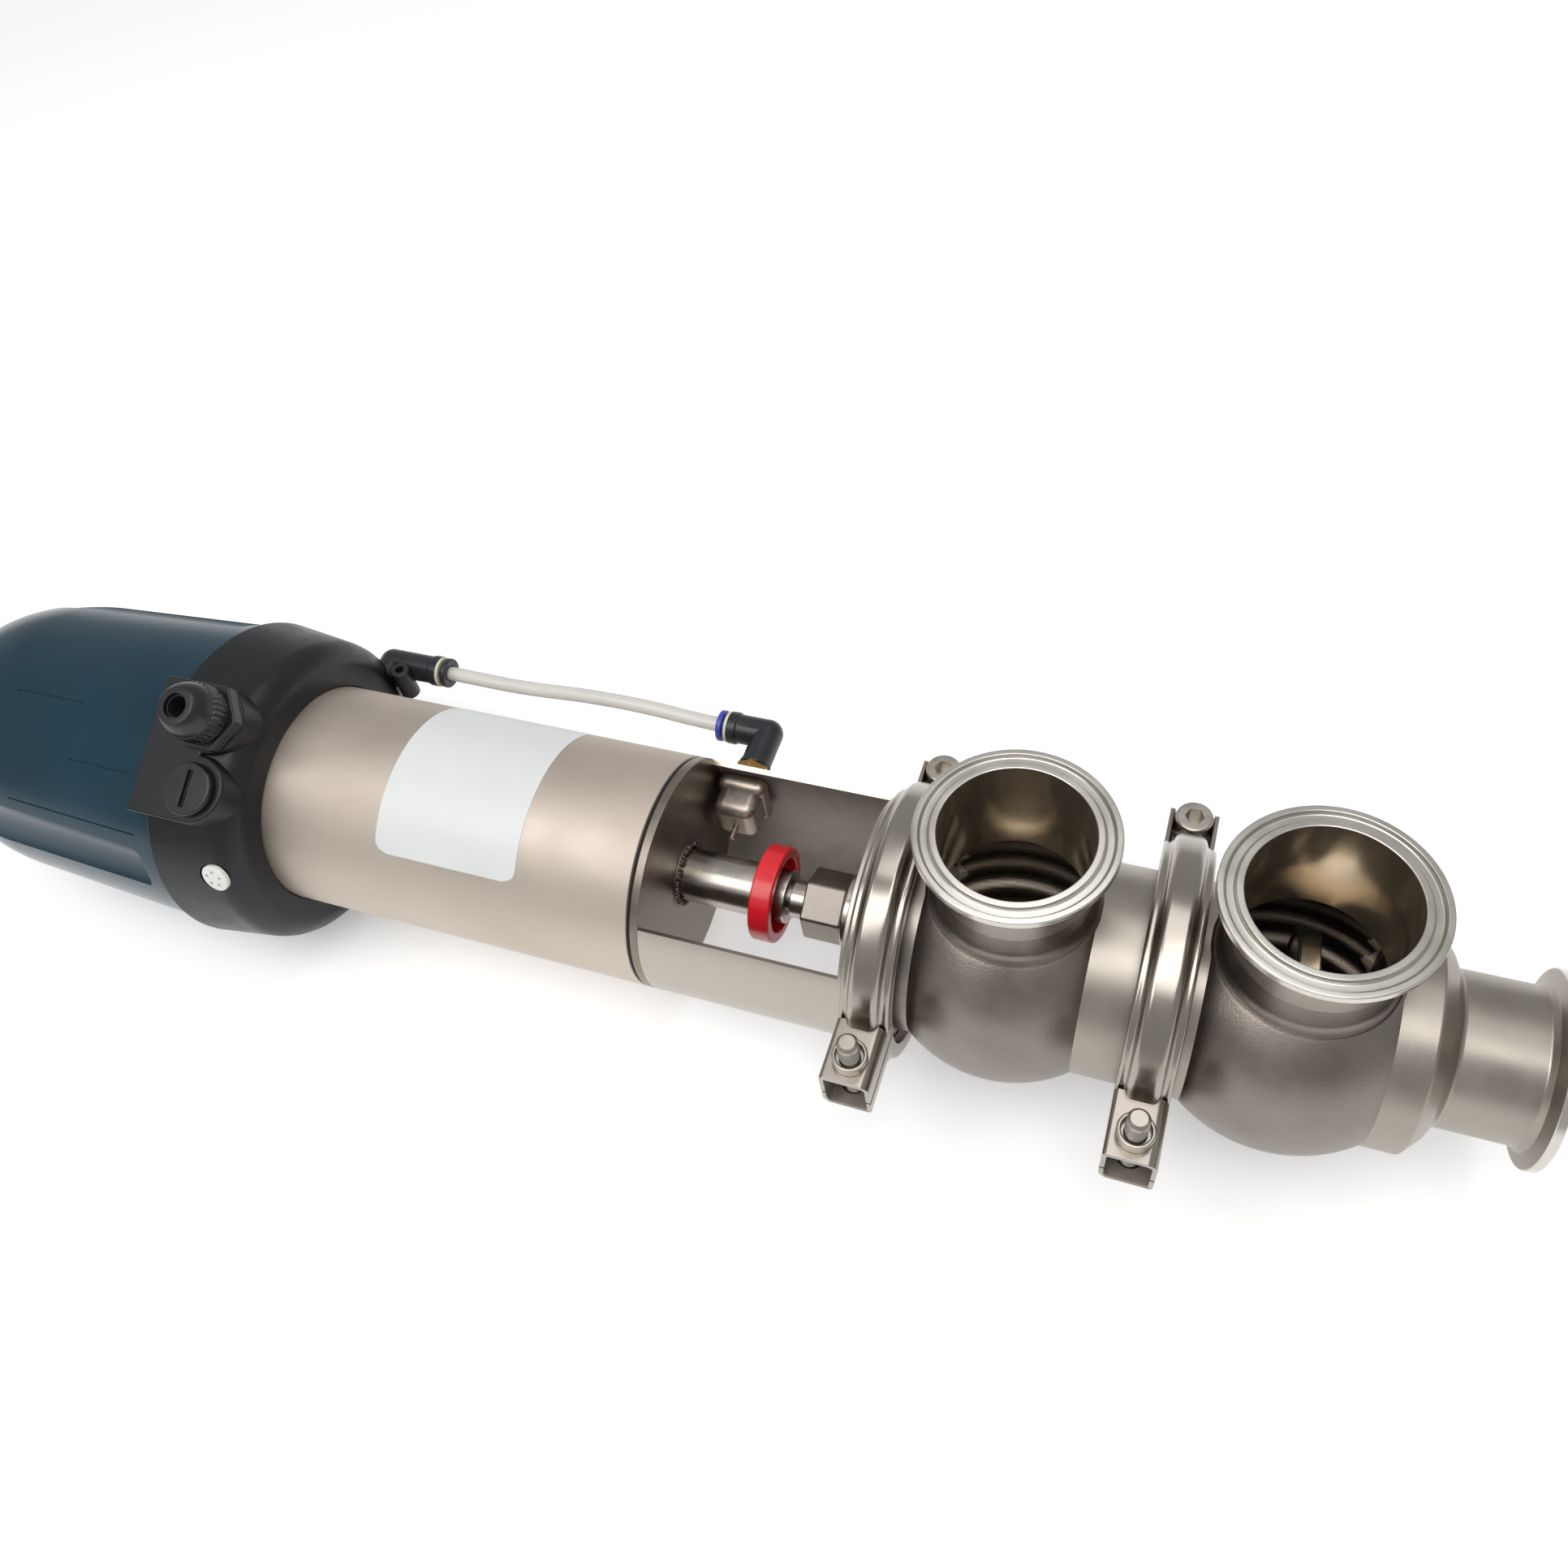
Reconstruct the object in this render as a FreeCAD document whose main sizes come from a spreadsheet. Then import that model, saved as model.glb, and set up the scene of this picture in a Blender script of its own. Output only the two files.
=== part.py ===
import FreeCAD, Part
import math
import os
import re
import Sketcher
from FreeCAD import Placement, Rotation, Vector

# Pneumatic divert valve with two ball-shaped bodies, millimetres.
# The origin is the centre of the outlet ferrule's face. X runs along the stem, out of the
# outlet, and Z is up, the way the two side ports point.

SIZES = {
    # pipe ports: 51 mm tube with 64 mm clamp ferrules
    "tube_radius": 25.5,
    "tube_wall": 1.2,
    "ferrule_radius": 32,
    "ferrule_rim": 2.85,
    "ferrule_length": 21.5,
    "ferrule_neck_radius": 27,
    "face_groove_radius": 28.2,
    "face_groove_width": 3.2,
    "face_groove_depth": 1.4,
    "flange_slope": 0.364,
    # ball bodies
    "ball_radius": 46,
    "body_wall": 2,
    "port_height": 72,
    "port_pitch": 91,
    "outlet_reach": 77.5,
    "joint_reach": 39.5,
    "hub_radius": 36.7,
    "hub_flange_radius": 45.5,
    "port_root_fillet": 2.5,
    "seat_collar_length": 11.2,
    "collar_nose_radius": 31,
    "collar_nose_length": 5,
    "collar_root_length": 3,
    "seat_radius": 25,
    "upper_seat_reach": 27,
    "lower_seat_reach": 33,
    "seat_shoulder": 5,
    "seal_corner": 2,
    "spigot_clearance": 0.1,
    # plug and stem
    "stroke": 25,
    "stem_radius": 7.2,
    "stem_clearance": 0.05,
    "soft_clearance": 0.3,
    "plug_radius": 28,
    "plug_rim": 6,
    "plug_waist_radius": 12.5,
    "plug_seal_section": 2.4,
    "plug_seal_proud": 0.7,
    "plug_seal_depth": 1.7,
    "plug_seal_edge": 0.4,
    "stem_thread_radius": 5.5,
    "stem_thread_length": 18,
    # bonnet and gland
    "bonnet_radius": 40,
    "bonnet_thickness": 4,
    "bonnet_spigot": 7,
    "bonnet_boss_radius": 14,
    "bonnet_boss_length": 9,
    "gland_width": 23,
    "gland_length": 15,
    "gland_thread_radius": 11,
    "gland_thread_length": 8,
    "bush_wall": 2,
    "lip_seal_length": 4,
    # clamps
    "clamp_width": 17,
    "clamp_lip_radius": 41.5,
    "clamp_root_radius": 46,
    "clamp_shoulder_radius": 47.2,
    "ridge_half_width": 5.6,
    "ridge_radius": 6.6,
    "clamp_clearance": 0.2,
    "clamp_gap": 1.2,
    "lug_length": 21.3,
    "lug_height": 12,
    "lug_plate": 2.5,
    "lug_cheek": 1.7,
    "lug_wall": 4.3,
    "lug_edge": 8.5,
    "bolt_radius": 4,
    "bolt_clearance": 0.4,
    "bolt_head_radius": 6.5,
    "bolt_head_height": 8,
    "hex_head_width": 13,
    "hex_head_height": 5,
    "socket_width": 6,
    "socket_depth": 4.5,
    "rear_nut_height": 6.5,
    "collar_nut_radius": 7,
    "collar_nut_height": 4.5,
    "bolt_end": 5.5,
    # yoke
    "yoke_radius": 44,
    "yoke_wall": 2,
    "yoke_leg_angle": 60,
    "yoke_ring_length": 10.5,
    "yoke_length": 83,
    "yoke_ring_bore": 35,
    "yoke_ring_thickness": 2.2,
    # actuator
    "actuator_radius": 44,
    "actuator_wall": 2,
    "actuator_length": 170,
    "end_plate_thickness": 4,
    "end_plate_spigot": 9,
    "end_seal_gap": 1,
    "plate_chamfer": 1,
    "rod_radius": 10,
    "rod_tail_radius": 7,
    "rod_nose": 3,
    "rod_weld_radius": 13,
    "rod_weld_height": 2,
    "piston_thickness": 14,
    "piston_clearance": 0.4,
    "piston_stop_gap": 1,
    "piston_boss_radius": 16,
    "piston_boss_length": 12,
    "seal_section": 4,
    "spring_radius": 29,
    "spring_wire": 7,
    "spring_wire_height": 5,
    "spring_turns": 4.5,
    "cover_thickness": 10,
    "cover_boss_radius": 14,
    # travel ring
    "ring_radius": 18,
    "ring_length": 8,
    "ring_counterbore": 14,
    "ring_floor": 2.5,
    "ring_to_joint": 44.5,
    # air fittings and tube
    "air_line_height": 7,
    "air_tube_radius": 3,
    "fitting_radius": 6.5,
    "fitting_reach": 65,
    "fitting_leg": 16,
    "socket_length": 12,
    "collet_radius": 6.3,
    "collet_flange": 2.2,
    "collet_travel": 0.8,
    "collet_sleeve_radius": 4.2,
    "collet_sleeve_length": 6,
    "trim_ring_length": 1.2,
    "nipple_width": 12,
    "nipple_height": 5.5,
    "block_size": 16,
    "block_round": 3.5,
    "block_to_plate": 2.5,
    "block_height": 3,
    "block_pin_radius": 1.2,
    "block_pin_drop": 3,
    "block_pin_length": 6,
    "nipple_thread_radius": 4.8,
    "head_fitting_leg": 24,
    "head_fitting_setback": 5.5,
    "elbow_root": 58,
    "elbow_thread": 6,
    "ear_radius": 4,
    "ear_station": 9,
    "ear_offset": 7.5,
    "ear_hole_radius": 1.9,
    "ear_length": 15,
    # control head
    "head_overlap": 18,
    "head_radius": 65,
    "head_front_fall": 10,
    "head_shoulder_fall": 3.5,
    "head_shoulder_length": 5.5,
    "head_shoulder_round": 9,
    "head_base_length": 34.5,
    "head_wall": 4,
    "head_floor": 4,
    "head_front_wall": 8,
    "head_sleeve_wall": 5,
    "board_seat": 4,
    "board_thickness": 1.6,
    "cap_step": 2.5,
    "cap_rim": 5,
    "cap_length": 153,
    "cap_wall": 4,
    "cap_waist_fall": 7,
    "cap_waist_depth": 65,
    "cap_shoulder_fall": 11,
    "cap_shoulder_depth": 43,
    "cap_nose_fall": 34.5,
    "cap_nose_depth": 10,
    "cap_shoulder_round": 89,
    "cap_nose_round": 65.6,
    "flute_depth": 2.1,
    "flute_tail_depth": 60,
    "flute_start": 9,
    "seam_spigot": 5,
    "cap_seal_section": 3,
    "pad_overhang": 4.5,
    "pad_width": 52,
    "pad_setback": 4,
    "pad_depth": 12,
    "pad_angle": 26,
    "port_offset": 13.5,
    "port_setback": 13.5,
    "port_thread_radius": 8,
    "port_thread_length": 10,
    "gland_hex_width": 24,
    "gland_hex_height": 5,
    "gland_upper_radius": 8.6,
    "gland_upper_length": 6,
    "gland_bore": 6.5,
    "dome_radius": 11,
    "dome_height": 15,
    "dome_nose_radius": 8,
    "cable_radius": 4,
    "plug_disc_radius": 10,
    "plug_disc_thickness": 3,
    "plug_slot_depth": 1.5,
    "plug_slot_width": 2.2,
    "vent_radius": 6,
    "vent_height": 2,
    "vent_angle": 70,
    "vent_setback": 9,
    "screw_circle": 30,
    "screw_radius": 2.5,
    "screw_head_radius": 4.5,
    "screw_head_height": 3,
    "screw_length": 12,
    "target_radius": 10,
    "target_length": 10,
    "rod_tail_reach": 22.5,
    "board_hole": 16,
    "valve_block_length": 20,
    "valve_block_width": 20,
    "valve_block_height": 30,
    "sensor_width": 12,
    "sensor_depth": 8,
    "sensor_length": 42,
}

doc = FreeCAD.newDocument("divert_valve")
sheet = doc.addObject("Spreadsheet::Sheet", "Dims")
for row, (alias, size) in enumerate(SIZES.items(), 1):
    sheet.set(f"A{row}", alias)
    sheet.set(f"B{row}", str(size))
    sheet.setAlias(f"B{row}", alias)
doc.recompute()

nodes = []


def linked(text):
    """The expression with each size's name pointed at its cell."""
    return re.sub(r"[a-z_]\w*", lambda word: f"Dims.{word[0]}" if word[0] in SIZES else word[0], text)


def value(text):
    """What the expression comes to now."""
    return float(sheet.evalExpression(linked(text)))


def bind(thing, **sizes):
    """Tie each property to its expression."""
    for name, text in sizes.items():
        thing.setExpression(name, linked(text))


def place(thing, at=("0", "0", "0"), turn=None):
    """Put the object at a point, turned about an axis by an angle."""
    if turn:
        thing.Placement = Placement(Vector(0, 0, 0), turn)
    for axis, text in zip("xyz", at):
        thing.setExpression(f"Placement.Base.{axis}", linked(text))


def new_body(label, at=("0", "0", "0"), turn=None, kept=True):
    """An empty body, listed for writing unless it is only part of a group."""
    body = doc.addObject("PartDesign::Body", label)
    body.Label = label
    place(body, at, turn)
    if kept:
        nodes.append(body)
    return body


def new_sketch(body, name, plane="XY_Plane", height="0", tilt="0"):
    """A sketch on one of the body's own planes, tilted about the X axis and raised along the
    normal it then has."""
    sketch = body.newObject("Sketcher::SketchObject", name)
    origin_plane = next(part for part in body.Origin.OriginFeatures if part.Role == plane)
    sketch.AttachmentSupport = [(origin_plane, "")]
    sketch.MapMode = "FlatFace"
    sketch.AttachmentOffset = Placement(Vector(0, 0, 0), Rotation(Vector(1, 0, 0), value(tilt)))
    sketch.setExpression("AttachmentOffset.Base.y", linked(f"-({height}) * sin({tilt} * 1 deg)"))
    sketch.setExpression("AttachmentOffset.Base.z", linked(f"({height}) * cos({tilt} * 1 deg)"))
    return sketch


def outline(sketch, points):
    """A closed outline. A point with a third item starts an arc of that radius: side +1 has
    its centre on the left of the chord, -1 on the right."""
    places = [(value(point[0]), value(point[1])) for point in points]
    first = sketch.GeometryCount
    starts = []
    ends = []
    for here, point in enumerate(points):
        x0, y0 = places[here]
        x1, y1 = places[(here + 1) % len(points)]
        side = point[2][1] if len(point) > 2 else 0
        if side:
            radius = value(point[2][0])
            chord = math.hypot(x1 - x0, y1 - y0)
            rise = side * math.sqrt(max(radius**2 - chord**2 / 4, 0)) / chord
            centre = Vector((x0 + x1) / 2 - rise * (y1 - y0), (y0 + y1) / 2 + rise * (x1 - x0), 0)
            angles = [math.atan2(y - centre.y, x - centre.x) for x, y in ((x0, y0), (x1, y1))]
            circle = Part.Circle(centre, Vector(0, 0, 1), radius)
            sketch.addGeometry(Part.ArcOfCircle(circle, *angles[::side]), False)
        else:
            sketch.addGeometry(Part.LineSegment(Vector(x0, y0, 0), Vector(x1, y1, 0)), False)
        starts.append((first + here, 2 if side < 0 else 1))
        ends.append((first + here, 1 if side < 0 else 2))
    for here, point in enumerate(points):
        sketch.addConstraint(Sketcher.Constraint("Coincident", *ends[here - 1], *starts[here]))
        for kind, place_of, text in zip(("DistanceX", "DistanceY"), places[here], point):
            number = sketch.addConstraint(Sketcher.Constraint(kind, -1, 1, *starts[here], place_of))
            sketch.setExpression(f"Constraints[{number}]", linked(text))
        if len(point) > 2:
            radius = value(point[2][0])
            number = sketch.addConstraint(Sketcher.Constraint("Radius", first + here, radius))
            sketch.setExpression(f"Constraints[{number}]", linked(point[2][0]))


def rectangle(sketch, left, right, low, high):
    """A closed rectangle between two pairs of sides."""
    outline(sketch, [(left, low), (right, low), (right, high), (left, high)])


def circle(sketch, radius, x="0", y="0"):
    """A full circle."""
    shape = Part.Circle(Vector(value(x), value(y), 0), Vector(0, 0, 1), value(radius))
    line = sketch.addGeometry(shape, False)
    for kind, text in (("DistanceX", x), ("DistanceY", y)):
        number = sketch.addConstraint(Sketcher.Constraint(kind, -1, 1, line, 3, value(text)))
        sketch.setExpression(f"Constraints[{number}]", linked(text))
    number = sketch.addConstraint(Sketcher.Constraint("Radius", line, value(radius)))
    sketch.setExpression(f"Constraints[{number}]", linked(radius))


def hexagon(sketch, width):
    """A closed hexagon about the origin, two corners on the sketch's Y axis."""
    side = f"({width} / 1.7320508)"
    corners = [(f"{width} / 2 * {x}", f"{side} * {y}") for x, y in
               ((0, -1), (1, -0.5), (1, 0.5), (0, 1), (-1, 0.5), (-1, -0.5))]
    outline(sketch, corners)


def spin(body, name, points, kind="PartDesign::Revolution", plane="XY_Plane", angle="360"):
    """Turn a profile of (x, radius) points about the body's X axis: adds, or cuts as a groove.
    Less than a full turn lies evenly on both sides of the sketch."""
    sketch = new_sketch(body, name + "_profile", plane)
    outline(sketch, points)
    turned = body.newObject(kind, name)
    turned.Profile = sketch
    turned.ReferenceAxis = (sketch, ["H_Axis"])
    turned.Midplane = value(angle) < 360
    bind(turned, Angle=angle)
    doc.recompute()
    return turned


def extrude(body, name, draw, length, height="0", kind="PartDesign::Pad", plane="XY_Plane",
            both=False, back=False, tilt="0"):
    """Draw a sketch with draw(sketch) and pad it, or cut it as a pocket."""
    sketch = new_sketch(body, name + "_outline", plane, height, tilt)
    draw(sketch)
    feature = body.newObject(kind, name)
    feature.Profile = sketch
    feature.Midplane = both
    feature.Reversed = back
    bind(feature, Length=length)
    doc.recompute()
    return feature


def cut(body, name, draw, length, height="0", plane="XY_Plane", both=False, back=True, tilt="0"):
    """A pocket that points up the plane's normal unless back is off, and must remove material."""
    before = body.Shape.Volume
    extrude(body, name, draw, length, height, "PartDesign::Pocket", plane, both, back, tilt)
    if body.Shape.Volume > before - 0.01:
        raise ValueError(f"{body.Label}: {name} cuts nothing")


def turned_body(label, points, at=("0", "0", "0"), turn=None, kept=True):
    """A round piece made by one revolution."""
    body = new_body(label, at, turn, kept)
    spin(body, "turning", points)
    return body


def tube_points(left, right, bore, outside):
    """The profile of a plain ring or tube."""
    return [(left, bore), (right, bore), (right, outside), (left, outside)]


# Axes of the turned pieces that don't lie along the stem
UP = Rotation(Vector(0, 1, 0), -90)
REARWARD = Rotation(Vector(0, 0, 1), 90)
LEFTWARD = Rotation(Vector(0, 0, 1), 180)

# Stations along the stem, from the outlet face back to the control head
LOWER_AXIS = "(-outlet_reach)"
UPPER_AXIS = "(-outlet_reach - port_pitch)"
NECK_JOINT = "(-outlet_reach - joint_reach)"
BONNET_JOINT = "(-outlet_reach - port_pitch - joint_reach)"
YOKE_RING = f"({BONNET_JOINT} - yoke_ring_length)"
YOKE_END = f"({BONNET_JOINT} - yoke_length)"
PLATE_BACK = f"({YOKE_END} - end_plate_thickness)"
ACTUATOR_FRONT = f"({PLATE_BACK} - end_seal_gap)"
ACTUATOR_BACK = f"({ACTUATOR_FRONT} - actuator_length)"
HEAD_FRONT = f"({ACTUATOR_BACK} + head_overlap)"
SEAM = f"({HEAD_FRONT} - head_base_length)"
PISTON_FRONT = f"({ACTUATOR_FRONT} - end_plate_spigot - piston_stop_gap)"
RING_FACE = f"({BONNET_JOINT} - ring_to_joint)"
ROD_END = f"({RING_FACE} + rod_nose)"
FITTING_STATION = f"({YOKE_END} + block_to_plate + block_size / 2)"
HEAD_FITTING_STATION = f"({HEAD_FRONT} - head_fitting_setback)"
ROD_TAIL = f"({ACTUATOR_BACK} - rod_tail_reach)"
PLUG_TOP = "(stroke + soft_clearance + plug_seal_proud - upper_seat_reach)"
PLUG_FOOT = "(lower_seat_reach - soft_clearance - plug_seal_proud)"

# Shapes that several pieces share
FLANGE_TAPER = "((hub_flange_radius - hub_radius) * flange_slope)"
FERRULE_TAPER = "((ferrule_radius - ferrule_neck_radius) * flange_slope)"
TUBE_BORE = "(tube_radius - tube_wall)"
BALL_BORE = "(ball_radius - body_wall)"
HUB_BORE = "(hub_radius - body_wall)"
HUB_REACH = "sqrt(ball_radius ^ 2 - hub_radius ^ 2)"
BORE_REACH = "sqrt((ball_radius - body_wall) ^ 2 - (hub_radius - body_wall) ^ 2)"
NECK_LENGTH = "(port_pitch - joint_reach)"
CYLINDER_BORE = "(actuator_radius - actuator_wall)"
BUSH_RADIUS = "(stem_radius + bush_wall)"
STEM_BORE = "(stem_radius + stem_clearance)"
SPIGOT_RADIUS = "(hub_radius - body_wall - spigot_clearance)"
PISTON_RADIUS = "(actuator_radius - actuator_wall - piston_clearance)"
TUBE_HOLE = "(air_tube_radius + soft_clearance)"
SCREW_PLACES = [(f"screw_circle * {math.cos(turn):.6f}", f"screw_circle * {math.sin(turn):.6f}")
                for turn in (math.pi / 6, 5 * math.pi / 6, 3 * math.pi / 2)]
HEAD_SHOULDER = "(head_radius - head_shoulder_fall)"
VENT_SEAT = f"({HEAD_SHOULDER} - vent_height / 3)"
CAP_RADIUS = "(head_radius - cap_step)"
CAP_WAIST = "(head_radius - cap_waist_fall)"
CAP_SHOULDER = "(head_radius - cap_shoulder_fall)"
CAP_NOSE = "(head_radius - cap_nose_fall)"
HEAD_FRONT_EDGE = "(head_radius - head_front_fall)"
CLAMP_EDGE = "(clamp_width / 2)"
CLAMP_LIP = "(ferrule_rim + (hub_flange_radius - clamp_lip_radius) * flange_slope + clamp_clearance)"
LUG_REACH = "(clamp_shoulder_radius + lug_length)"
LUG_INNER = "(clamp_shoulder_radius + lug_wall)"
BOLT_LINE = "(clamp_shoulder_radius + lug_length - lug_edge)"


def weld_ferrule(label, at, turn=None):
    """A pipe ferrule: bored through, with a rim, a tapered back and a gasket groove in its face."""
    groove_in = "face_groove_radius - face_groove_width / 2"
    groove_out = "face_groove_radius + face_groove_width / 2"
    slant = "face_groove_width / 4"
    turned_body(label, [
        ("-ferrule_length", TUBE_BORE),
        ("0", TUBE_BORE),
        ("0", groove_in),
        ("-face_groove_depth", f"{groove_in} + {slant}"),
        ("-face_groove_depth", f"{groove_out} - {slant}"),
        ("0", groove_out),
        ("0", "ferrule_radius"),
        ("-ferrule_rim", "ferrule_radius"),
        (f"-ferrule_rim - {FERRULE_TAPER}", "ferrule_neck_radius"),
        (f"-ferrule_rim - {FERRULE_TAPER} - 1.5 * tube_wall", "tube_radius"),
        ("-ferrule_length", "tube_radius"),
    ], at, turn)


def ball_with_port(label, at, outside, inside):
    """A ball body: the outside turned, a port pulled out of its top, then both bores opened."""
    body = new_body(label, at)
    spin(body, "ball", outside)
    port = extrude(body, "port", lambda sketch: circle(sketch, "tube_radius"),
                   "port_height - ferrule_length")
    root = [f"Edge{number}" for number, edge in enumerate(port.Shape.Edges, 1)
            if edge.BoundBox.ZLength < 0.01 and edge.Curve.TypeId == "Part::GeomCircle"
            and value("body_wall") < edge.BoundBox.ZMin < value("ball_radius")]
    fillet = body.newObject("PartDesign::Fillet", "port_root")
    fillet.Base = (port, root)
    bind(fillet, Radius="port_root_fillet")
    doc.recompute()
    spin(body, "chamber", inside, "PartDesign::Groove")
    cut(body, "port_bore", lambda sketch: circle(sketch, TUBE_BORE), "port_height")
    return body


def hub_flange(joint, toward_ball):
    """The outline of a clamped hub: from the joint's axis point to where its taper meets the hub."""
    return [
        (joint, "hub_flange_radius"),
        (f"{joint} {toward_ball} ferrule_rim", "hub_flange_radius"),
        (f"{joint} {toward_ball} (ferrule_rim + {FLANGE_TAPER})", "hub_radius"),
    ]


def upper_body():
    """The ball under the bonnet, whose neck carries the upper seat on a spigot."""
    spigot = f"({NECK_LENGTH} + joint_reach - upper_seat_reach)"
    outside = [("-joint_reach", "0")]
    outside += hub_flange("-joint_reach", "+")
    outside += [(f"-{HUB_REACH}", "hub_radius", ("ball_radius", -1)), (HUB_REACH, "hub_radius")]
    outside += hub_flange(NECK_LENGTH, "-")[::-1]
    outside += [
        (NECK_LENGTH, SPIGOT_RADIUS),
        (spigot, SPIGOT_RADIUS),
        (spigot, "0"),
    ]
    inside = [
        ("-joint_reach - body_wall", "0"),
        ("-joint_reach - body_wall", f"{HUB_BORE} + seal_corner"),
        ("-joint_reach + seal_corner", f"{HUB_BORE} + seal_corner"),
        ("-joint_reach + seal_corner", HUB_BORE),
        (f"-{BORE_REACH}", HUB_BORE, (BALL_BORE, -1)),
        (BORE_REACH, HUB_BORE),
        (f"{NECK_LENGTH} - seat_shoulder", HUB_BORE),
        (f"{NECK_LENGTH} - seat_shoulder", f"{HUB_BORE} - seat_shoulder"),
        (f"{spigot} - seat_shoulder", f"{HUB_BORE} - seat_shoulder"),
        (f"{spigot} - body_wall", "seat_radius"),
        (f"{spigot} + body_wall", "seat_radius"),
        (f"{spigot} + body_wall", "0"),
    ]
    ball_with_port("upper_body", (UPPER_AXIS, "0", "0"), outside, inside)


def lower_body():
    """The ball at the outlet: the lower seat is the inner face of its thick outlet collar."""
    collar = f"({HUB_REACH} + seat_collar_length)"
    outside = [("-joint_reach", "0")]
    outside += hub_flange("-joint_reach", "+")
    outside += [
        (f"-{HUB_REACH}", "hub_radius", ("ball_radius", -1)),
        (HUB_REACH, "hub_radius"),
        (collar, "hub_radius"),
        (f"{collar} + collar_nose_length", "collar_nose_radius"),
        (f"{collar} + collar_nose_length + collar_root_length", "tube_radius"),
        ("outlet_reach - ferrule_length", "tube_radius"),
        ("outlet_reach - ferrule_length", "0"),
    ]
    seat_edge = f"sqrt({BALL_BORE} ^ 2 - lower_seat_reach ^ 2)"
    inside = [
        ("-joint_reach - body_wall", "0"),
        ("-joint_reach - body_wall", f"{HUB_BORE} + seal_corner"),
        ("-joint_reach + seal_corner", f"{HUB_BORE} + seal_corner"),
        ("-joint_reach + seal_corner", HUB_BORE),
        (f"-{BORE_REACH}", HUB_BORE, (BALL_BORE, -1)),
        ("lower_seat_reach", seat_edge),
        ("lower_seat_reach", TUBE_BORE),
        ("outlet_reach", TUBE_BORE),
        ("outlet_reach", "0"),
    ]
    ball_with_port("lower_body", (LOWER_AXIS, "0", "0"), outside, inside)


def bonnet():
    """The disc that closes the upper body, with a boss for the gland and a spigot for the seal."""
    boss_end = "(-yoke_ring_length - bonnet_boss_length)"
    turned_body("bonnet", [
        ("bonnet_spigot", BUSH_RADIUS),
        ("bonnet_spigot", SPIGOT_RADIUS),
        ("0", SPIGOT_RADIUS),
        ("0", "bonnet_radius"),
        ("-bonnet_thickness", "bonnet_radius"),
        ("-bonnet_thickness", "yoke_ring_bore - spigot_clearance"),
        ("-yoke_ring_length", "yoke_ring_bore - spigot_clearance"),
        ("-yoke_ring_length", "bonnet_boss_radius"),
        (boss_end, "bonnet_boss_radius"),
        (boss_end, "gland_thread_radius"),
        (f"{boss_end} + gland_thread_length", "gland_thread_radius"),
        (f"{boss_end} + gland_thread_length", BUSH_RADIUS),
    ], (BONNET_JOINT, "0", "0"))


def stem_guide():
    """The stem's bush, the lip seal beyond it and the hexagon gland that holds the bush in."""
    bush_end = "-yoke_ring_length - bonnet_boss_length + gland_thread_length"
    turned_body("stem_bush", tube_points(
        bush_end, "bonnet_spigot - lip_seal_length", STEM_BORE, BUSH_RADIUS,
    ), (BONNET_JOINT, "0", "0"))
    turned_body("stem_lip_seal", tube_points(
        "bonnet_spigot - lip_seal_length", "bonnet_spigot", "stem_radius + soft_clearance", BUSH_RADIUS,
    ), (BONNET_JOINT, "0", "0"))
    gland = new_body("gland_nut", (f"{YOKE_RING} - bonnet_boss_length", "0", "0"))
    extrude(gland, "hexagon", lambda sketch: hexagon(sketch, "gland_width"), "gland_length",
            plane="YZ_Plane", back=True)
    spin(gland, "corner_chamfer", [
        ("-gland_length", "gland_width / 2"),
        ("-gland_length", "gland_width"),
        ("-gland_length + gland_width / 4", "gland_width"),
    ], "PartDesign::Groove")
    extrude(gland, "thread", lambda sketch: circle(sketch, "gland_thread_radius"),
            "gland_thread_length", plane="YZ_Plane")
    cut(gland, "stem_bore", lambda sketch: circle(sketch, STEM_BORE),
        "gland_length + gland_thread_length", "-gland_length", plane="YZ_Plane")


def body_seals():
    """The rings in the two clamped joints, each in the corner between spigot and counterbore."""
    outside = f"({HUB_BORE} + seal_corner)"
    for label, joint in (("bonnet_seal", BONNET_JOINT), ("neck_seal", NECK_JOINT)):
        turned_body(label, tube_points("0", "seal_corner", SPIGOT_RADIUS, outside), (joint, "0", "0"))


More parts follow.
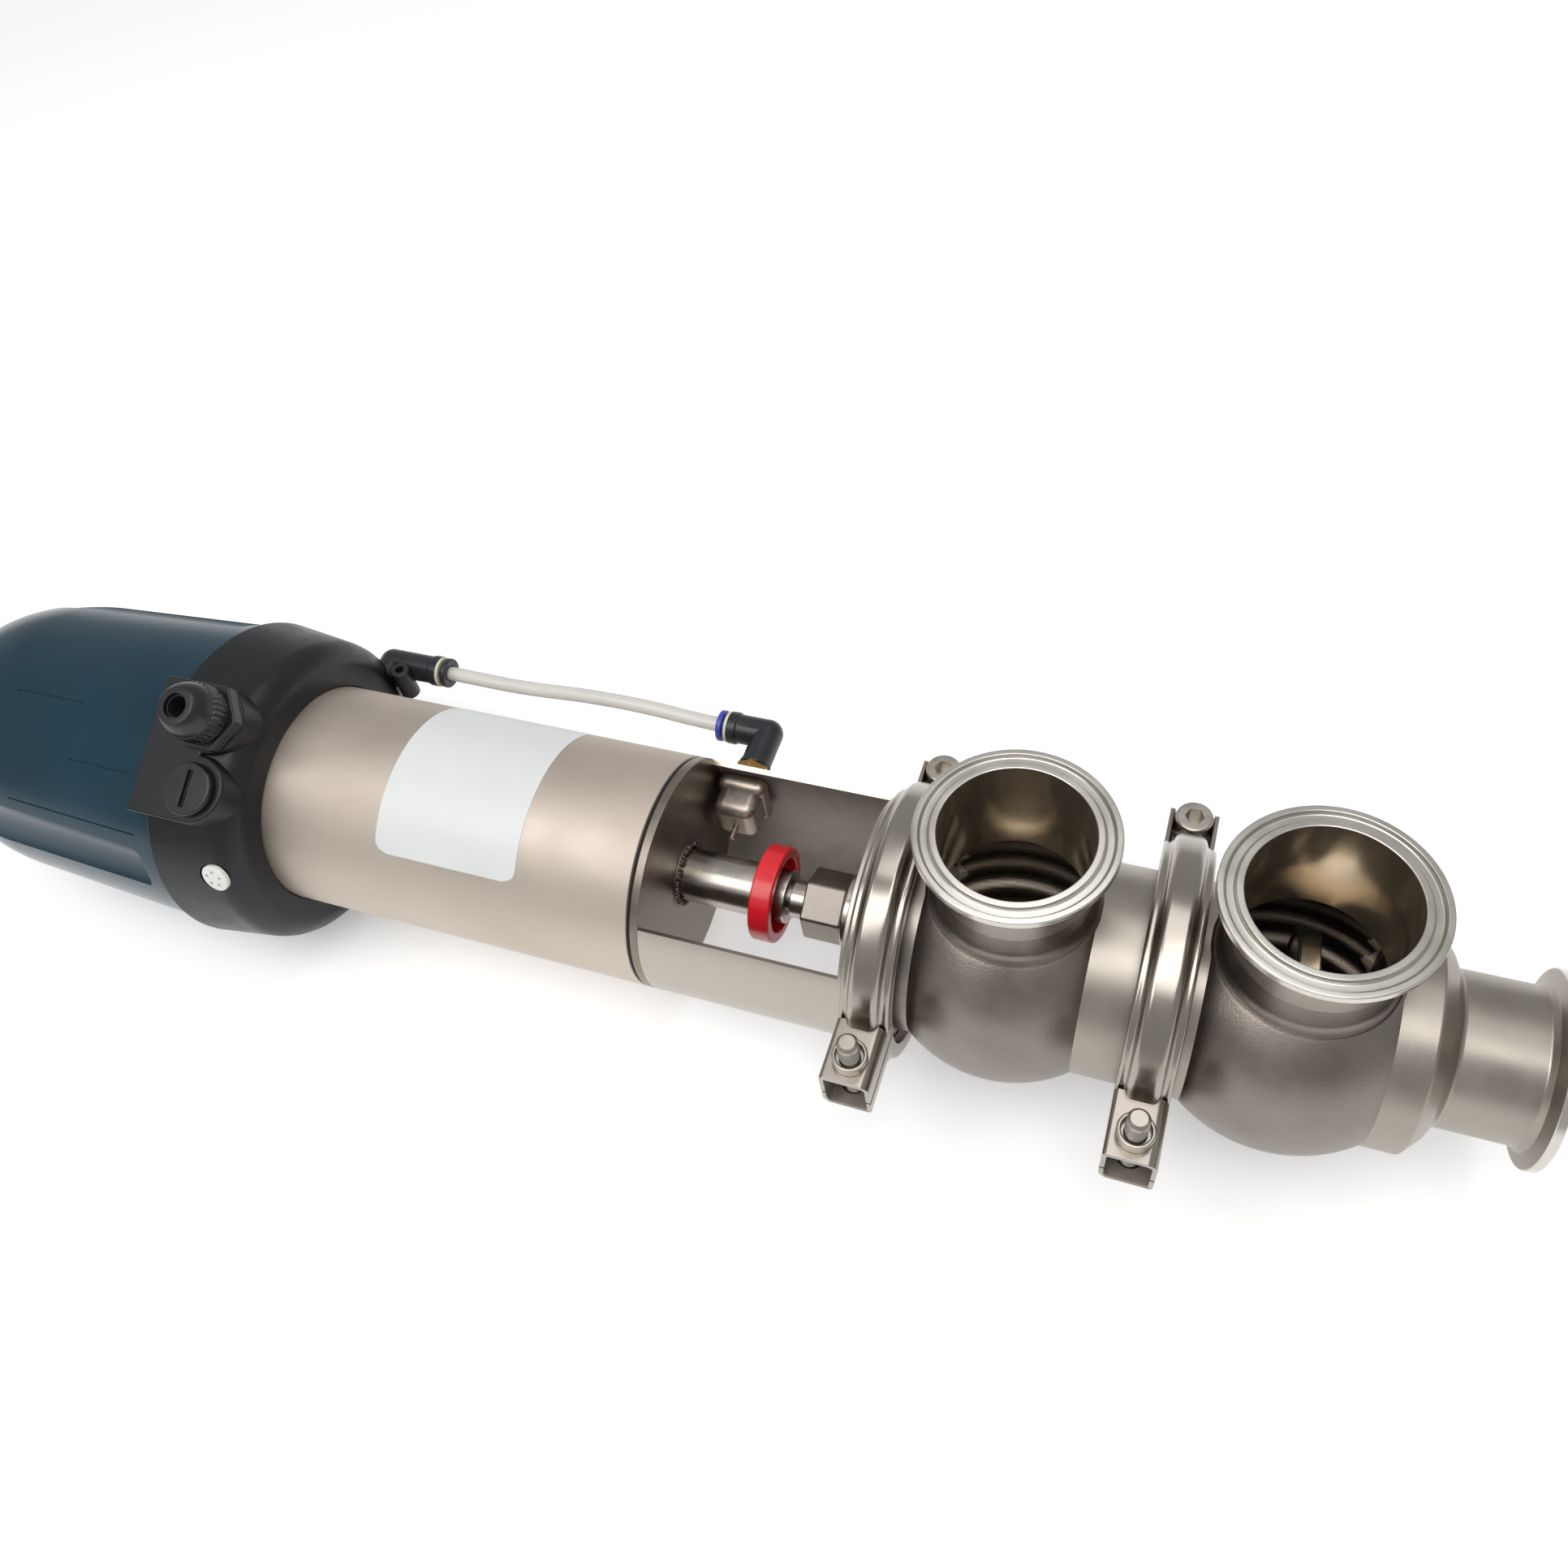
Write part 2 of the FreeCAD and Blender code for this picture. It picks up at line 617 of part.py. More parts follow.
def clamp_half(label, joint, turn=None):
    """Half a clamp: a grooved band with a channel lug in front and an open seat lug behind."""
    half = "(clamp_width / 2)"
    body = new_body(label, (joint, "0", "0"), turn)
    spin(body, "band", [
        (f"-{half}", "clamp_lip_radius"),
        (f"-{CLAMP_LIP}", "clamp_lip_radius"),
        ("-ferrule_rim - clamp_clearance", "clamp_root_radius"),
        ("ferrule_rim + clamp_clearance", "clamp_root_radius"),
        (CLAMP_LIP, "clamp_lip_radius"),
        (half, "clamp_lip_radius"),
        (half, "clamp_shoulder_radius"),
        ("ridge_half_width", "clamp_shoulder_radius", ("ridge_radius", 1)),
        ("-ridge_half_width", "clamp_shoulder_radius"),
        (f"-{half}", "clamp_shoulder_radius"),
    ], plane="XZ_Plane", angle="180 - 57.3 * clamp_gap / clamp_lip_radius")

    def lugs(sketch):
        for near, far in (("clamp_root_radius", LUG_REACH), (f"-{LUG_REACH}", "-clamp_root_radius")):
            rectangle(sketch, f"-{half}", half, near, far)

    def channel(near, far):
        return lambda sketch: rectangle(sketch, f"lug_cheek - {half}", f"{half} - lug_cheek", near, far)

    def bolt_holes(sketch):
        for y in (BOLT_LINE, f"-{BOLT_LINE}"):
            circle(sketch, "bolt_radius + bolt_clearance", "0", y)

    extrude(body, "lugs", lugs, "lug_height - clamp_gap / 2", "clamp_gap / 2")
    cut(body, "front_channel", channel(f"-{LUG_REACH} - lug_cheek", f"-{LUG_INNER}"),
        "lug_height - lug_plate", "0")
    cut(body, "rear_channel", channel(LUG_INNER, f"{LUG_REACH} + lug_cheek"),
        "lug_height", "lug_height / 2")
    cut(body, "bolt_holes", bolt_holes, "lug_height")


def clamps():
    """Two clamps of two halves: the lower half is the upper one turned over about Y."""
    turned_over = Rotation(Vector(0, 1, 0), 180)
    for joint_name, joint in (("bonnet", BONNET_JOINT), ("neck", NECK_JOINT)):
        clamp_half(f"{joint_name}_clamp_upper", joint)
        clamp_half(f"{joint_name}_clamp_lower", joint, turned_over)


def group(label, members):
    """One node of several separate, equal pieces."""
    compound = doc.addObject("Part::Compound", label)
    compound.Links = members
    nodes.append(compound)


def clamp_fasteners():
    """Front: a hexagon bolt from below with a round collar nut. Rear: a socket screw and a nut."""
    front_bolts = []
    collar_nuts = []
    rear_screws = []
    rear_nuts = []
    bolt_bore = "bolt_radius"
    for joint in (BONNET_JOINT, NECK_JOINT):
        front = (joint, f"-{BOLT_LINE}", "0")
        rear = (joint, BOLT_LINE, "0")
        bolt = new_body("front_bolt", front, kept=False)
        extrude(bolt, "head", lambda sketch: hexagon(sketch, "hex_head_width"),
                "hex_head_height", "-lug_height - hex_head_height")
        extrude(bolt, "shank", lambda sketch: circle(sketch, "bolt_radius"),
                "2 * lug_height + collar_nut_height + bolt_end", "-lug_height")
        front_bolts.append(bolt)
        collar_nuts.append(turned_body("collar_nut", tube_points(
            "lug_height", "lug_height + collar_nut_height", bolt_bore, "collar_nut_radius",
        ), front, UP, kept=False))
        screw = new_body("rear_screw", rear, kept=False)
        extrude(screw, "shank", lambda sketch: circle(sketch, "bolt_radius"),
                "lug_height + rear_nut_height", "-lug_height / 2 - rear_nut_height")
        extrude(screw, "head", lambda sketch: circle(sketch, "bolt_head_radius"),
                "bolt_head_height", "lug_height / 2")
        cut(screw, "socket", lambda sketch: hexagon(sketch, "socket_width"),
            "socket_depth", "lug_height / 2 + bolt_head_height - socket_depth")
        rear_screws.append(screw)
        nut = new_body("rear_nut", rear, kept=False)
        extrude(nut, "hexagon", lambda sketch: hexagon(sketch, "hex_head_width"),
                "rear_nut_height", "-lug_height / 2 - rear_nut_height")
        cut(nut, "thread", lambda sketch: circle(sketch, bolt_bore),
            "rear_nut_height", "-lug_height / 2 - rear_nut_height")
        rear_nuts.append(nut)
    group("front_clamp_bolts", front_bolts)
    group("front_collar_nuts", collar_nuts)
    group("rear_clamp_screws", rear_screws)
    group("rear_clamp_nuts", rear_nuts)


def yoke():
    """The open tube between bonnet and actuator: a clamped ring and two legs, front and rear."""
    hub = "(yoke_ring_bore + yoke_ring_thickness)"
    ring_start = f"(-{CLAMP_EDGE} - clamp_clearance)"
    body = new_body("yoke", (BONNET_JOINT, "0", "0"))
    spin(body, "ring_and_tube", [
        ("0", "bonnet_radius"),
        ("0", "hub_flange_radius"),
        ("-ferrule_rim", "hub_flange_radius"),
        (f"-ferrule_rim - (hub_flange_radius - {hub}) * flange_slope", hub),
        (ring_start, hub),
        (ring_start, "yoke_radius"),
        ("-yoke_length", "yoke_radius"),
        ("-yoke_length", "yoke_radius - yoke_wall"),
        ("-yoke_ring_length", "yoke_radius - yoke_wall"),
        ("-yoke_ring_length", "yoke_ring_bore"),
        ("-bonnet_thickness", "yoke_ring_bore"),
        ("-bonnet_thickness", "bonnet_radius"),
    ])
    leg_edge = "(yoke_radius * cos(yoke_leg_angle * 1 deg / 2))"
    cut(body, "windows", lambda sketch: rectangle(
        sketch, "-yoke_length - yoke_wall", "-yoke_ring_length", f"-{leg_edge}", leg_edge,
    ), "3 * yoke_radius", both=True)
    cut(body, "nipple_hole", lambda sketch: circle(
        sketch, "nipple_thread_radius", f"{FITTING_STATION} - {BONNET_JOINT}", "air_line_height",
    ), "2 * yoke_radius", plane="XZ_Plane", back=False)


def end_plate():
    """The disc that closes the actuator's front: the rod comes out through its welded collar."""
    spigot = f"({CYLINDER_BORE} - spigot_clearance)"
    rear = "(-end_plate_thickness - end_seal_gap - end_plate_spigot)"
    turned_body("end_plate", [
        ("rod_weld_height", "rod_radius + soft_clearance"),
        ("rod_weld_height", "rod_weld_radius - 1"),
        ("0", "rod_weld_radius"),
        ("0", "yoke_radius"),
        ("-end_plate_thickness + plate_chamfer", "yoke_radius"),
        ("-end_plate_thickness", "yoke_radius - plate_chamfer"),
        ("-end_plate_thickness", spigot),
        (rear, spigot),
        (rear, "rod_radius + bush_wall"),
        ("-end_plate_thickness / 2", "rod_radius + bush_wall"),
        ("-end_plate_thickness / 2", "rod_radius + soft_clearance"),
    ], (YOKE_END, "0", "0"))
    turned_body("rod_bush", tube_points(
        rear, "-end_plate_thickness / 2", "rod_radius + stem_clearance", "rod_radius + bush_wall",
    ), (YOKE_END, "0", "0"))
    turned_body("end_plate_seal", tube_points(
        "0", "end_seal_gap", spigot, "actuator_radius - plate_chamfer",
    ), (ACTUATOR_FRONT, "0", "0"))


def actuator():
    """The cylinder, the cover that closes its back, and the piston with its seal and spring."""
    turned_body("actuator_cylinder", tube_points(
        "-actuator_length", "0", CYLINDER_BORE, "actuator_radius",
    ), (ACTUATOR_FRONT, "0", "0"))
    cover = turned_body("top_cover", [
        ("cover_thickness", "rod_tail_radius + stem_clearance"),
        ("cover_thickness", f"{CYLINDER_BORE} - spigot_clearance"),
        ("0", f"{CYLINDER_BORE} - spigot_clearance"),
        ("0", "cover_boss_radius"),
        ("-head_floor", "cover_boss_radius"),
        ("-head_floor", "rod_tail_radius + stem_clearance"),
    ], (ACTUATOR_BACK, "0", "0"))

    def screw_holes(sketch):
        for y, z in SCREW_PLACES:
            circle(sketch, "screw_radius", y, z)

    cut(cover, "screw_holes", screw_holes, "cover_thickness - 1", plane="YZ_Plane")
    groove = f"({PISTON_RADIUS} - seal_section)"
    middle = "(-piston_thickness / 2)"
    turned_body("piston", [
        ("0", "rod_tail_radius"),
        ("0", PISTON_RADIUS),
        (f"{middle} + seal_section / 2", PISTON_RADIUS),
        (f"{middle} + seal_section / 2", groove),
        (f"{middle} - seal_section / 2", groove),
        (f"{middle} - seal_section / 2", PISTON_RADIUS),
        ("-piston_thickness", PISTON_RADIUS),
        ("-piston_thickness", "piston_boss_radius"),
        ("-piston_thickness - piston_boss_length", "piston_boss_radius"),
        ("-piston_thickness - piston_boss_length", "rod_tail_radius"),
    ], (PISTON_FRONT, "0", "0"))
    turned_body("piston_seal", tube_points(
        f"{middle} - seal_section / 2", f"{middle} + seal_section / 2",
        groove, f"{CYLINDER_BORE} - soft_clearance",
    ), (PISTON_FRONT, "0", "0"))
    spring_room = f"({PISTON_FRONT} - piston_thickness - {ACTUATOR_BACK} - cover_thickness)"
    coil = new_body("actuator_spring",
                    (f"{ACTUATOR_BACK} + cover_thickness + soft_clearance", "0", "0"))
    sketch = new_sketch(coil, "wire")
    rectangle(sketch, "0", "spring_wire_height",
              "spring_radius - spring_wire / 2", "spring_radius + spring_wire / 2")
    helix = coil.newObject("PartDesign::AdditiveHelix", "turns")
    helix.Profile = sketch
    helix.ReferenceAxis = (sketch, ["H_Axis"])
    helix.Mode = "height-turns-angle"
    bind(helix, Turns="spring_turns",
         Height=f"{spring_room} - 2 * soft_clearance - spring_wire_height")
    doc.recompute()


def moving_stem():
    """The rod from the piston, the travel ring on its end and the stem that it carries."""
    turned_body("piston_rod", [
        (PISTON_FRONT, "0"),
        (ROD_TAIL, "0"),
        (ROD_TAIL, "rod_tail_radius"),
        (PISTON_FRONT, "rod_tail_radius"),
        (PISTON_FRONT, "rod_radius"),
        (f"{ROD_END} - plate_chamfer", "rod_radius"),
        (ROD_END, "rod_radius - plate_chamfer"),
        (ROD_END, "stem_thread_radius"),
        (f"{ROD_END} - stem_thread_length", "stem_thread_radius"),
        (f"{ROD_END} - stem_thread_length", "0"),
    ])
    turned_body("travel_ring", [
        ("-ring_length", "rod_radius"),
        ("ring_floor - ring_length", "rod_radius"),
        ("ring_floor - ring_length", "ring_counterbore"),
        ("0", "ring_counterbore"),
        ("0", "ring_radius"),
        ("-ring_length", "ring_radius"),
    ], (RING_FACE, "0", "0"))
    plug_top = f"({LOWER_AXIS} + {PLUG_TOP})"
    turned_body("plug_stem", [
        (f"{ROD_END} - stem_thread_length", "0"),
        (f"{plug_top} + stem_thread_length", "0"),
        (f"{plug_top} + stem_thread_length", "stem_thread_radius"),
        (plug_top, "stem_thread_radius"),
        (plug_top, "stem_radius"),
        (f"{ROD_END} + 1", "stem_radius"),
        (f"{ROD_END} + 1", "stem_thread_radius"),
        (f"{ROD_END} - stem_thread_length", "stem_thread_radius"),
    ])
    turned_body("sensing_target", tube_points(
        "0", "target_length", "rod_tail_radius", "target_radius",
    ), (ROD_TAIL, "0", "0"))


def plug():
    """The double-faced plug, screwed on the stem, with a sealing ring in each face."""
    inner = "(plug_radius - plug_seal_edge - plug_seal_section)"
    outer = "(plug_radius - plug_seal_edge)"
    depth = "plug_seal_depth"
    turned_body("plug", [
        (PLUG_TOP, "stem_thread_radius"),
        (PLUG_TOP, inner),
        (f"{PLUG_TOP} + {depth}", inner),
        (f"{PLUG_TOP} + {depth}", outer),
        (PLUG_TOP, outer),
        (PLUG_TOP, "plug_radius"),
        (f"{PLUG_TOP} + plug_rim", "plug_radius"),
        (f"{PLUG_TOP} + 1.5 * plug_rim", "plug_waist_radius"),
        (f"{PLUG_FOOT} - 1.5 * plug_rim", "plug_waist_radius"),
        (f"{PLUG_FOOT} - plug_rim", "plug_radius"),
        (PLUG_FOOT, "plug_radius"),
        (PLUG_FOOT, outer),
        (f"{PLUG_FOOT} - {depth}", outer),
        (f"{PLUG_FOOT} - {depth}", inner),
        (PLUG_FOOT, inner),
        (PLUG_FOOT, "0"),
        (f"{PLUG_TOP} + stem_thread_length", "0"),
        (f"{PLUG_TOP} + stem_thread_length", "stem_thread_radius"),
    ], (LOWER_AXIS, "0", "0"))
    for label, left, right in (
        ("upper_plug_seal", f"{PLUG_TOP} - plug_seal_proud", f"{PLUG_TOP} + {depth}"),
        ("lower_plug_seal", f"{PLUG_FOOT} - {depth}", f"{PLUG_FOOT} + plug_seal_proud"),
    ):
        turned_body(label, tube_points(left, right, inner, outer), (LOWER_AXIS, "0", "0"))


def air_block():
    """The rounded block welded inside the rear leg, which takes the air line to the cylinder."""
    top = "(block_height + block_size / 2)"
    back = f"(sqrt((yoke_radius - yoke_wall) ^ 2 - {top} ^ 2))"
    body = new_body("air_block", (FITTING_STATION, back, "block_height"))
    block = extrude(body, "block", lambda sketch: rectangle(
        sketch, "-block_size / 2", "block_size / 2", "-block_size / 2", "block_size / 2",
    ), "block_size", plane="XZ_Plane")
    front_edges = [f"Edge{number}" for number, edge in enumerate(block.Shape.Edges, 1)
                   if edge.BoundBox.YMin < -0.01]
    rounding = body.newObject("PartDesign::Fillet", "rounding")
    rounding.Base = (block, front_edges)
    bind(rounding, Radius="block_round")
    doc.recompute()
    extrude(body, "drain_pin", lambda sketch: circle(sketch, "block_pin_radius", "0", "-block_pin_drop"),
            f"block_size + block_pin_length", plane="XZ_Plane")


def elbow(label, at, leg, stem, turn=None):
    """A push-in elbow: the stem points along -Y, the socketed leg along X, a ball joins them."""
    body = new_body(label, at, turn)
    extrude(body, "leg", lambda sketch: circle(sketch, "fitting_radius"), leg, plane="YZ_Plane")
    spin(body, "corner", [
        ("-fitting_radius", "0", ("fitting_radius", -1)),
        ("0", "fitting_radius", ("fitting_radius", -1)),
        ("fitting_radius", "0"),
    ])
    extrude(body, "stem", lambda sketch: circle(sketch, "fitting_radius"), stem, plane="XZ_Plane")
    cut(body, "tube_socket", lambda sketch: circle(sketch, TUBE_HOLE),
        "socket_length", f"{leg} - socket_length", plane="YZ_Plane")
    cut(body, "collet_socket", lambda sketch: circle(sketch, "collet_sleeve_radius + soft_clearance"),
        "collet_sleeve_length", f"{leg} - collet_sleeve_length", plane="YZ_Plane")
    return body


def push_in_end(name, at, turn):
    """The trim ring on a socket's mouth and the release collet, which slides in by its travel."""
    outside = "(trim_ring_length + collet_travel + soft_clearance)"
    turned_body(f"{name}_trim_ring", tube_points(
        "0", "trim_ring_length", "collet_sleeve_radius + soft_clearance", "collet_radius",
    ), at, turn)
    sleeve_end = f"({outside} - collet_sleeve_length)"
    turned_body(f"{name}_collet", [
        (sleeve_end, TUBE_HOLE),
        (f"{outside} + collet_flange", TUBE_HOLE),
        (f"{outside} + collet_flange", "collet_radius"),
        (outside, "collet_radius"),
        (outside, "collet_sleeve_radius"),
        (sleeve_end, "collet_sleeve_radius"),
    ], at, turn)


def air_fittings():
    """The elbow on the yoke with its brass nipple, and the elbow on the control head."""
    line = "air_line_height"
    block_top = "(block_height + block_size / 2)"
    block_back = f"sqrt((yoke_radius - yoke_wall) ^ 2 - {block_top} ^ 2)"
    nipple = new_body("brass_nipple", (FITTING_STATION, "0", line), REARWARD)
    extrude(nipple, "hexagon", lambda sketch: hexagon(sketch, "nipple_width"),
            "nipple_height", "yoke_radius", plane="YZ_Plane")
    extrude(nipple, "thread", lambda sketch: circle(sketch, "nipple_thread_radius"),
            f"yoke_radius - {block_back}", block_back, plane="YZ_Plane")
    elbow("yoke_elbow", (FITTING_STATION, "fitting_reach", line), "fitting_leg",
          "fitting_reach - yoke_radius - nipple_height", Rotation(Vector(0, 1, 0), 180))
    push_in_end("yoke", (f"{FITTING_STATION} - fitting_leg", "fitting_reach", line), LEFTWARD)

    body = elbow("head_elbow", (HEAD_FITTING_STATION, "fitting_reach", line), "head_fitting_leg",
                 "fitting_reach - elbow_root")
    extrude(body, "thread", lambda sketch: circle(sketch, "nipple_thread_radius"),
            "fitting_reach - elbow_root + elbow_thread", plane="XZ_Plane")
    extrude(body, "ear", lambda sketch: circle(sketch, "ear_radius", "ear_station", "-ear_offset"),
            "ear_length", "-ear_length * 0.6")
    cut(body, "ear_hole",
        lambda sketch: circle(sketch, "ear_hole_radius", "ear_station", "-ear_offset"),
        "ear_length", "-ear_length * 0.6")
    push_in_end("head", (f"{HEAD_FITTING_STATION} + head_fitting_leg", "fitting_reach", line), None)


# The air tube's route between the two elbows, chosen by eye: x, y, z
AIR_ROUTE = [
    (-286.5, 65, 7), (-306, 65, 7), (-333, 65.7, 9), (-361, 66, 8.3),
    (-391, 65.4, 5.8), (-419, 65, 7), (-439.5, 65, 7),
]


def tube_path(points):
    """Straight runs joined by tangent arcs, each as large as its two runs allow."""
    points = [Vector(*point) for point in points]
    start = points[0]
    edges = []
    for before, corner, after in zip(points, points[1:], points[2:]):
        back = (before - corner).normalize()
        ahead = (after - corner).normalize()
        half_turn = (math.pi - back.getAngle(ahead)) / 2
        setback = 0.45 * min((corner - before).Length, (after - corner).Length)
        radius = setback / math.tan(half_turn)
        print(f"air tube arc radius {radius:.0f}")
        inward = (back + ahead).normalize()
        middle = corner + inward * (radius / math.cos(half_turn) - radius)
        arc_start = corner + back * setback
        arc_end = corner + ahead * setback
        edges.append(Part.LineSegment(start, arc_start).toShape())
        edges.append(Part.Arc(arc_start, middle, arc_end).toShape())
        start = arc_end
    edges.append(Part.LineSegment(start, points[-1]).toShape())
    return Part.Wire(edges)


def air_tube():
    """The plastic air line, from inside one elbow to inside the other."""
    path = tube_path(AIR_ROUTE)
    start = path.Edges[0].Vertexes[0].Point
    circle_edge = Part.Circle(start, path.Edges[0].tangentAt(0), value("air_tube_radius")).toShape()
    solid = path.makePipeShell([Part.Wire(circle_edge)], True, False)
    ideal = math.pi * value("air_tube_radius") ** 2 * path.Length
    print(f"air tube volume {solid.Volume:.1f}, section times length {ideal:.1f}")
    tube = doc.addObject("Part::Feature", "air_tube")
    tube.Shape = solid
    tube.Placement = Placement(Vector(0, 0, 0), Rotation())
    nodes.append(tube)


def head_base():
    """The black base of the control head, with the raised pad for the cable gland."""
    body = new_body("head_base", (HEAD_FRONT, "0", "0"))
    floor_back = "(-head_overlap - head_floor)"
    sleeve = "(actuator_radius + head_sleeve_wall)"
    seal_step = "(seam_spigot + cap_seal_section - head_base_length)"
    inner = f"({HEAD_SHOULDER} - head_wall)"
    spin(body, "shell", [
        ("0", "actuator_radius + spigot_clearance"),
        ("0", HEAD_FRONT_EDGE, ("head_shoulder_round", 1)),
        ("-head_shoulder_length", HEAD_SHOULDER),
        ("-head_base_length", "head_radius"),
        ("-head_base_length", "head_radius - head_wall"),
        (seal_step, "head_radius - head_wall"),
        (seal_step, inner),
        ("-head_front_wall", inner),
        ("-head_front_wall", sleeve),
        (f"{floor_back} - board_seat", sleeve),
        (f"{floor_back} - board_seat", "actuator_radius"),
        (floor_back, "actuator_radius"),
        (floor_back, "cover_boss_radius + spigot_clearance"),
        ("-head_overlap", "cover_boss_radius + spigot_clearance"),
        ("-head_overlap", "actuator_radius + spigot_clearance"),
    ])
    front = "(-pad_setback)"
    extrude(body, "pad", lambda sketch: rectangle(
        sketch, "-head_base_length", front, "-pad_width / 2", "pad_width / 2",
    ), "pad_depth", "head_radius - pad_depth", tilt="pad_angle")
    extrude(body, "pad_lip", lambda sketch: rectangle(
        sketch, "-head_base_length - pad_overhang", front, "-pad_width / 2", "pad_width / 2",
    ), f"head_radius - {CAP_RADIUS} - soft_clearance", f"{CAP_RADIUS} + soft_clearance", tilt="pad_angle")
    spin(body, "seam_bore", [
        ("-head_base_length", f"{CAP_RADIUS} - 2 * cap_wall"),
        ("-head_base_length", "head_radius - head_wall"),
        (seal_step, "head_radius - head_wall"),
        (seal_step, f"{CAP_RADIUS} - 2 * cap_wall"),
    ], "PartDesign::Groove")

    def pad_holes(sketch):
        for side in ("port_offset", "-port_offset"):
            circle(sketch, "port_thread_radius", "-port_setback", side)

    def screw_holes(sketch):
        for y, z in SCREW_PLACES:
            circle(sketch, "screw_radius", y, z)

    cut(body, "pad_holes", pad_holes, "pad_depth + head_wall", "head_radius - pad_depth - head_wall",
        tilt="pad_angle")
    for name, radius, root in (
        ("elbow_recess", "fitting_radius + spigot_clearance", "elbow_root"),
        ("elbow_thread", "nipple_thread_radius", "elbow_root - elbow_thread"),
    ):
        cut(body, name, lambda sketch: circle(
            sketch, radius, "-head_fitting_setback", "-air_line_height",
        ), "head_radius", root, tilt="-90")
    cut(body, "vent_hole", lambda sketch: circle(sketch, "vent_radius / 2", "-vent_setback"),
        "head_radius", f"{HEAD_FRONT_EDGE} - head_wall", tilt="vent_angle")
    cut(body, "vent_seat", lambda sketch: circle(
        sketch, "vent_radius + soft_clearance", "-vent_setback",
    ), "head_radius", VENT_SEAT, tilt="vent_angle")
    cut(body, "screw_holes", screw_holes, "head_floor", floor_back, plane="YZ_Plane")


def head_cap():
    """The coloured cap: a tapering dome with three flat flutes and a spigot into the base."""
    bore = f"({CAP_RADIUS} - cap_wall)"
    spigot = "(head_radius - head_wall - spigot_clearance)"
    waist = "(cap_length - cap_waist_depth)"
    shoulder = "(cap_length - cap_shoulder_depth)"
    nose = "(cap_length - cap_nose_depth)"
    crown = f"(({CAP_NOSE} ^ 2 + cap_nose_depth ^ 2) / 2 / cap_nose_depth)"
    body = new_body("head_cap", (SEAM, "0", "0"))
    spin(body, "shell", [
        ("seam_spigot", bore),
        ("seam_spigot", spigot),
        ("0", spigot),
        ("0", CAP_RADIUS),
        ("-cap_rim", CAP_RADIUS),
        (f"-{waist}", CAP_WAIST, ("cap_shoulder_round", 1)),
        (f"-{shoulder}", CAP_SHOULDER, ("cap_nose_round", 1)),
        (f"-{nose}", CAP_NOSE, (crown, 1)),
        ("-cap_length", "0"),
        ("-cap_length + cap_wall", "0"),
        (f"-{nose} + 0.8 * cap_wall", f"{CAP_NOSE} - 0.6 * cap_wall",
         ("cap_nose_round - cap_wall", -1)),
        (f"-{shoulder} + 0.3 * cap_wall", f"{CAP_SHOULDER} - 0.95 * cap_wall",
         ("cap_shoulder_round - cap_wall", -1)),
        (f"-{waist}", f"{CAP_WAIST} - cap_wall"),
        ("-cap_rim", bore),
    ])
    fall = f"(({CAP_RADIUS} - {CAP_WAIST}) / ({waist} - cap_rim))"
    flute_end = "(cap_length - flute_tail_depth)"
    top = f"({CAP_RADIUS} - (flute_start - cap_rim) * {fall} - flute_depth)"
    for number, angle in enumerate((75, 195, 315), 1):
        cut(body, f"flute_{number}", lambda sketch: outline(sketch, [
            ("-flute_start", top),
            (f"-{flute_end}", f"{top} - ({flute_end} - flute_start) * {fall} + flute_depth"),
            (f"-{flute_end}", f"{CAP_RADIUS} * 1.2"),
            ("-flute_start", f"{CAP_RADIUS} * 1.2"),
        ]), CAP_RADIUS, plane="XZ_Plane", both=True, tilt=str(angle))
    turned_body("cap_seal", tube_points(
        "seam_spigot", "seam_spigot + cap_seal_section", bore, spigot,
    ), (SEAM, "0", "0"))


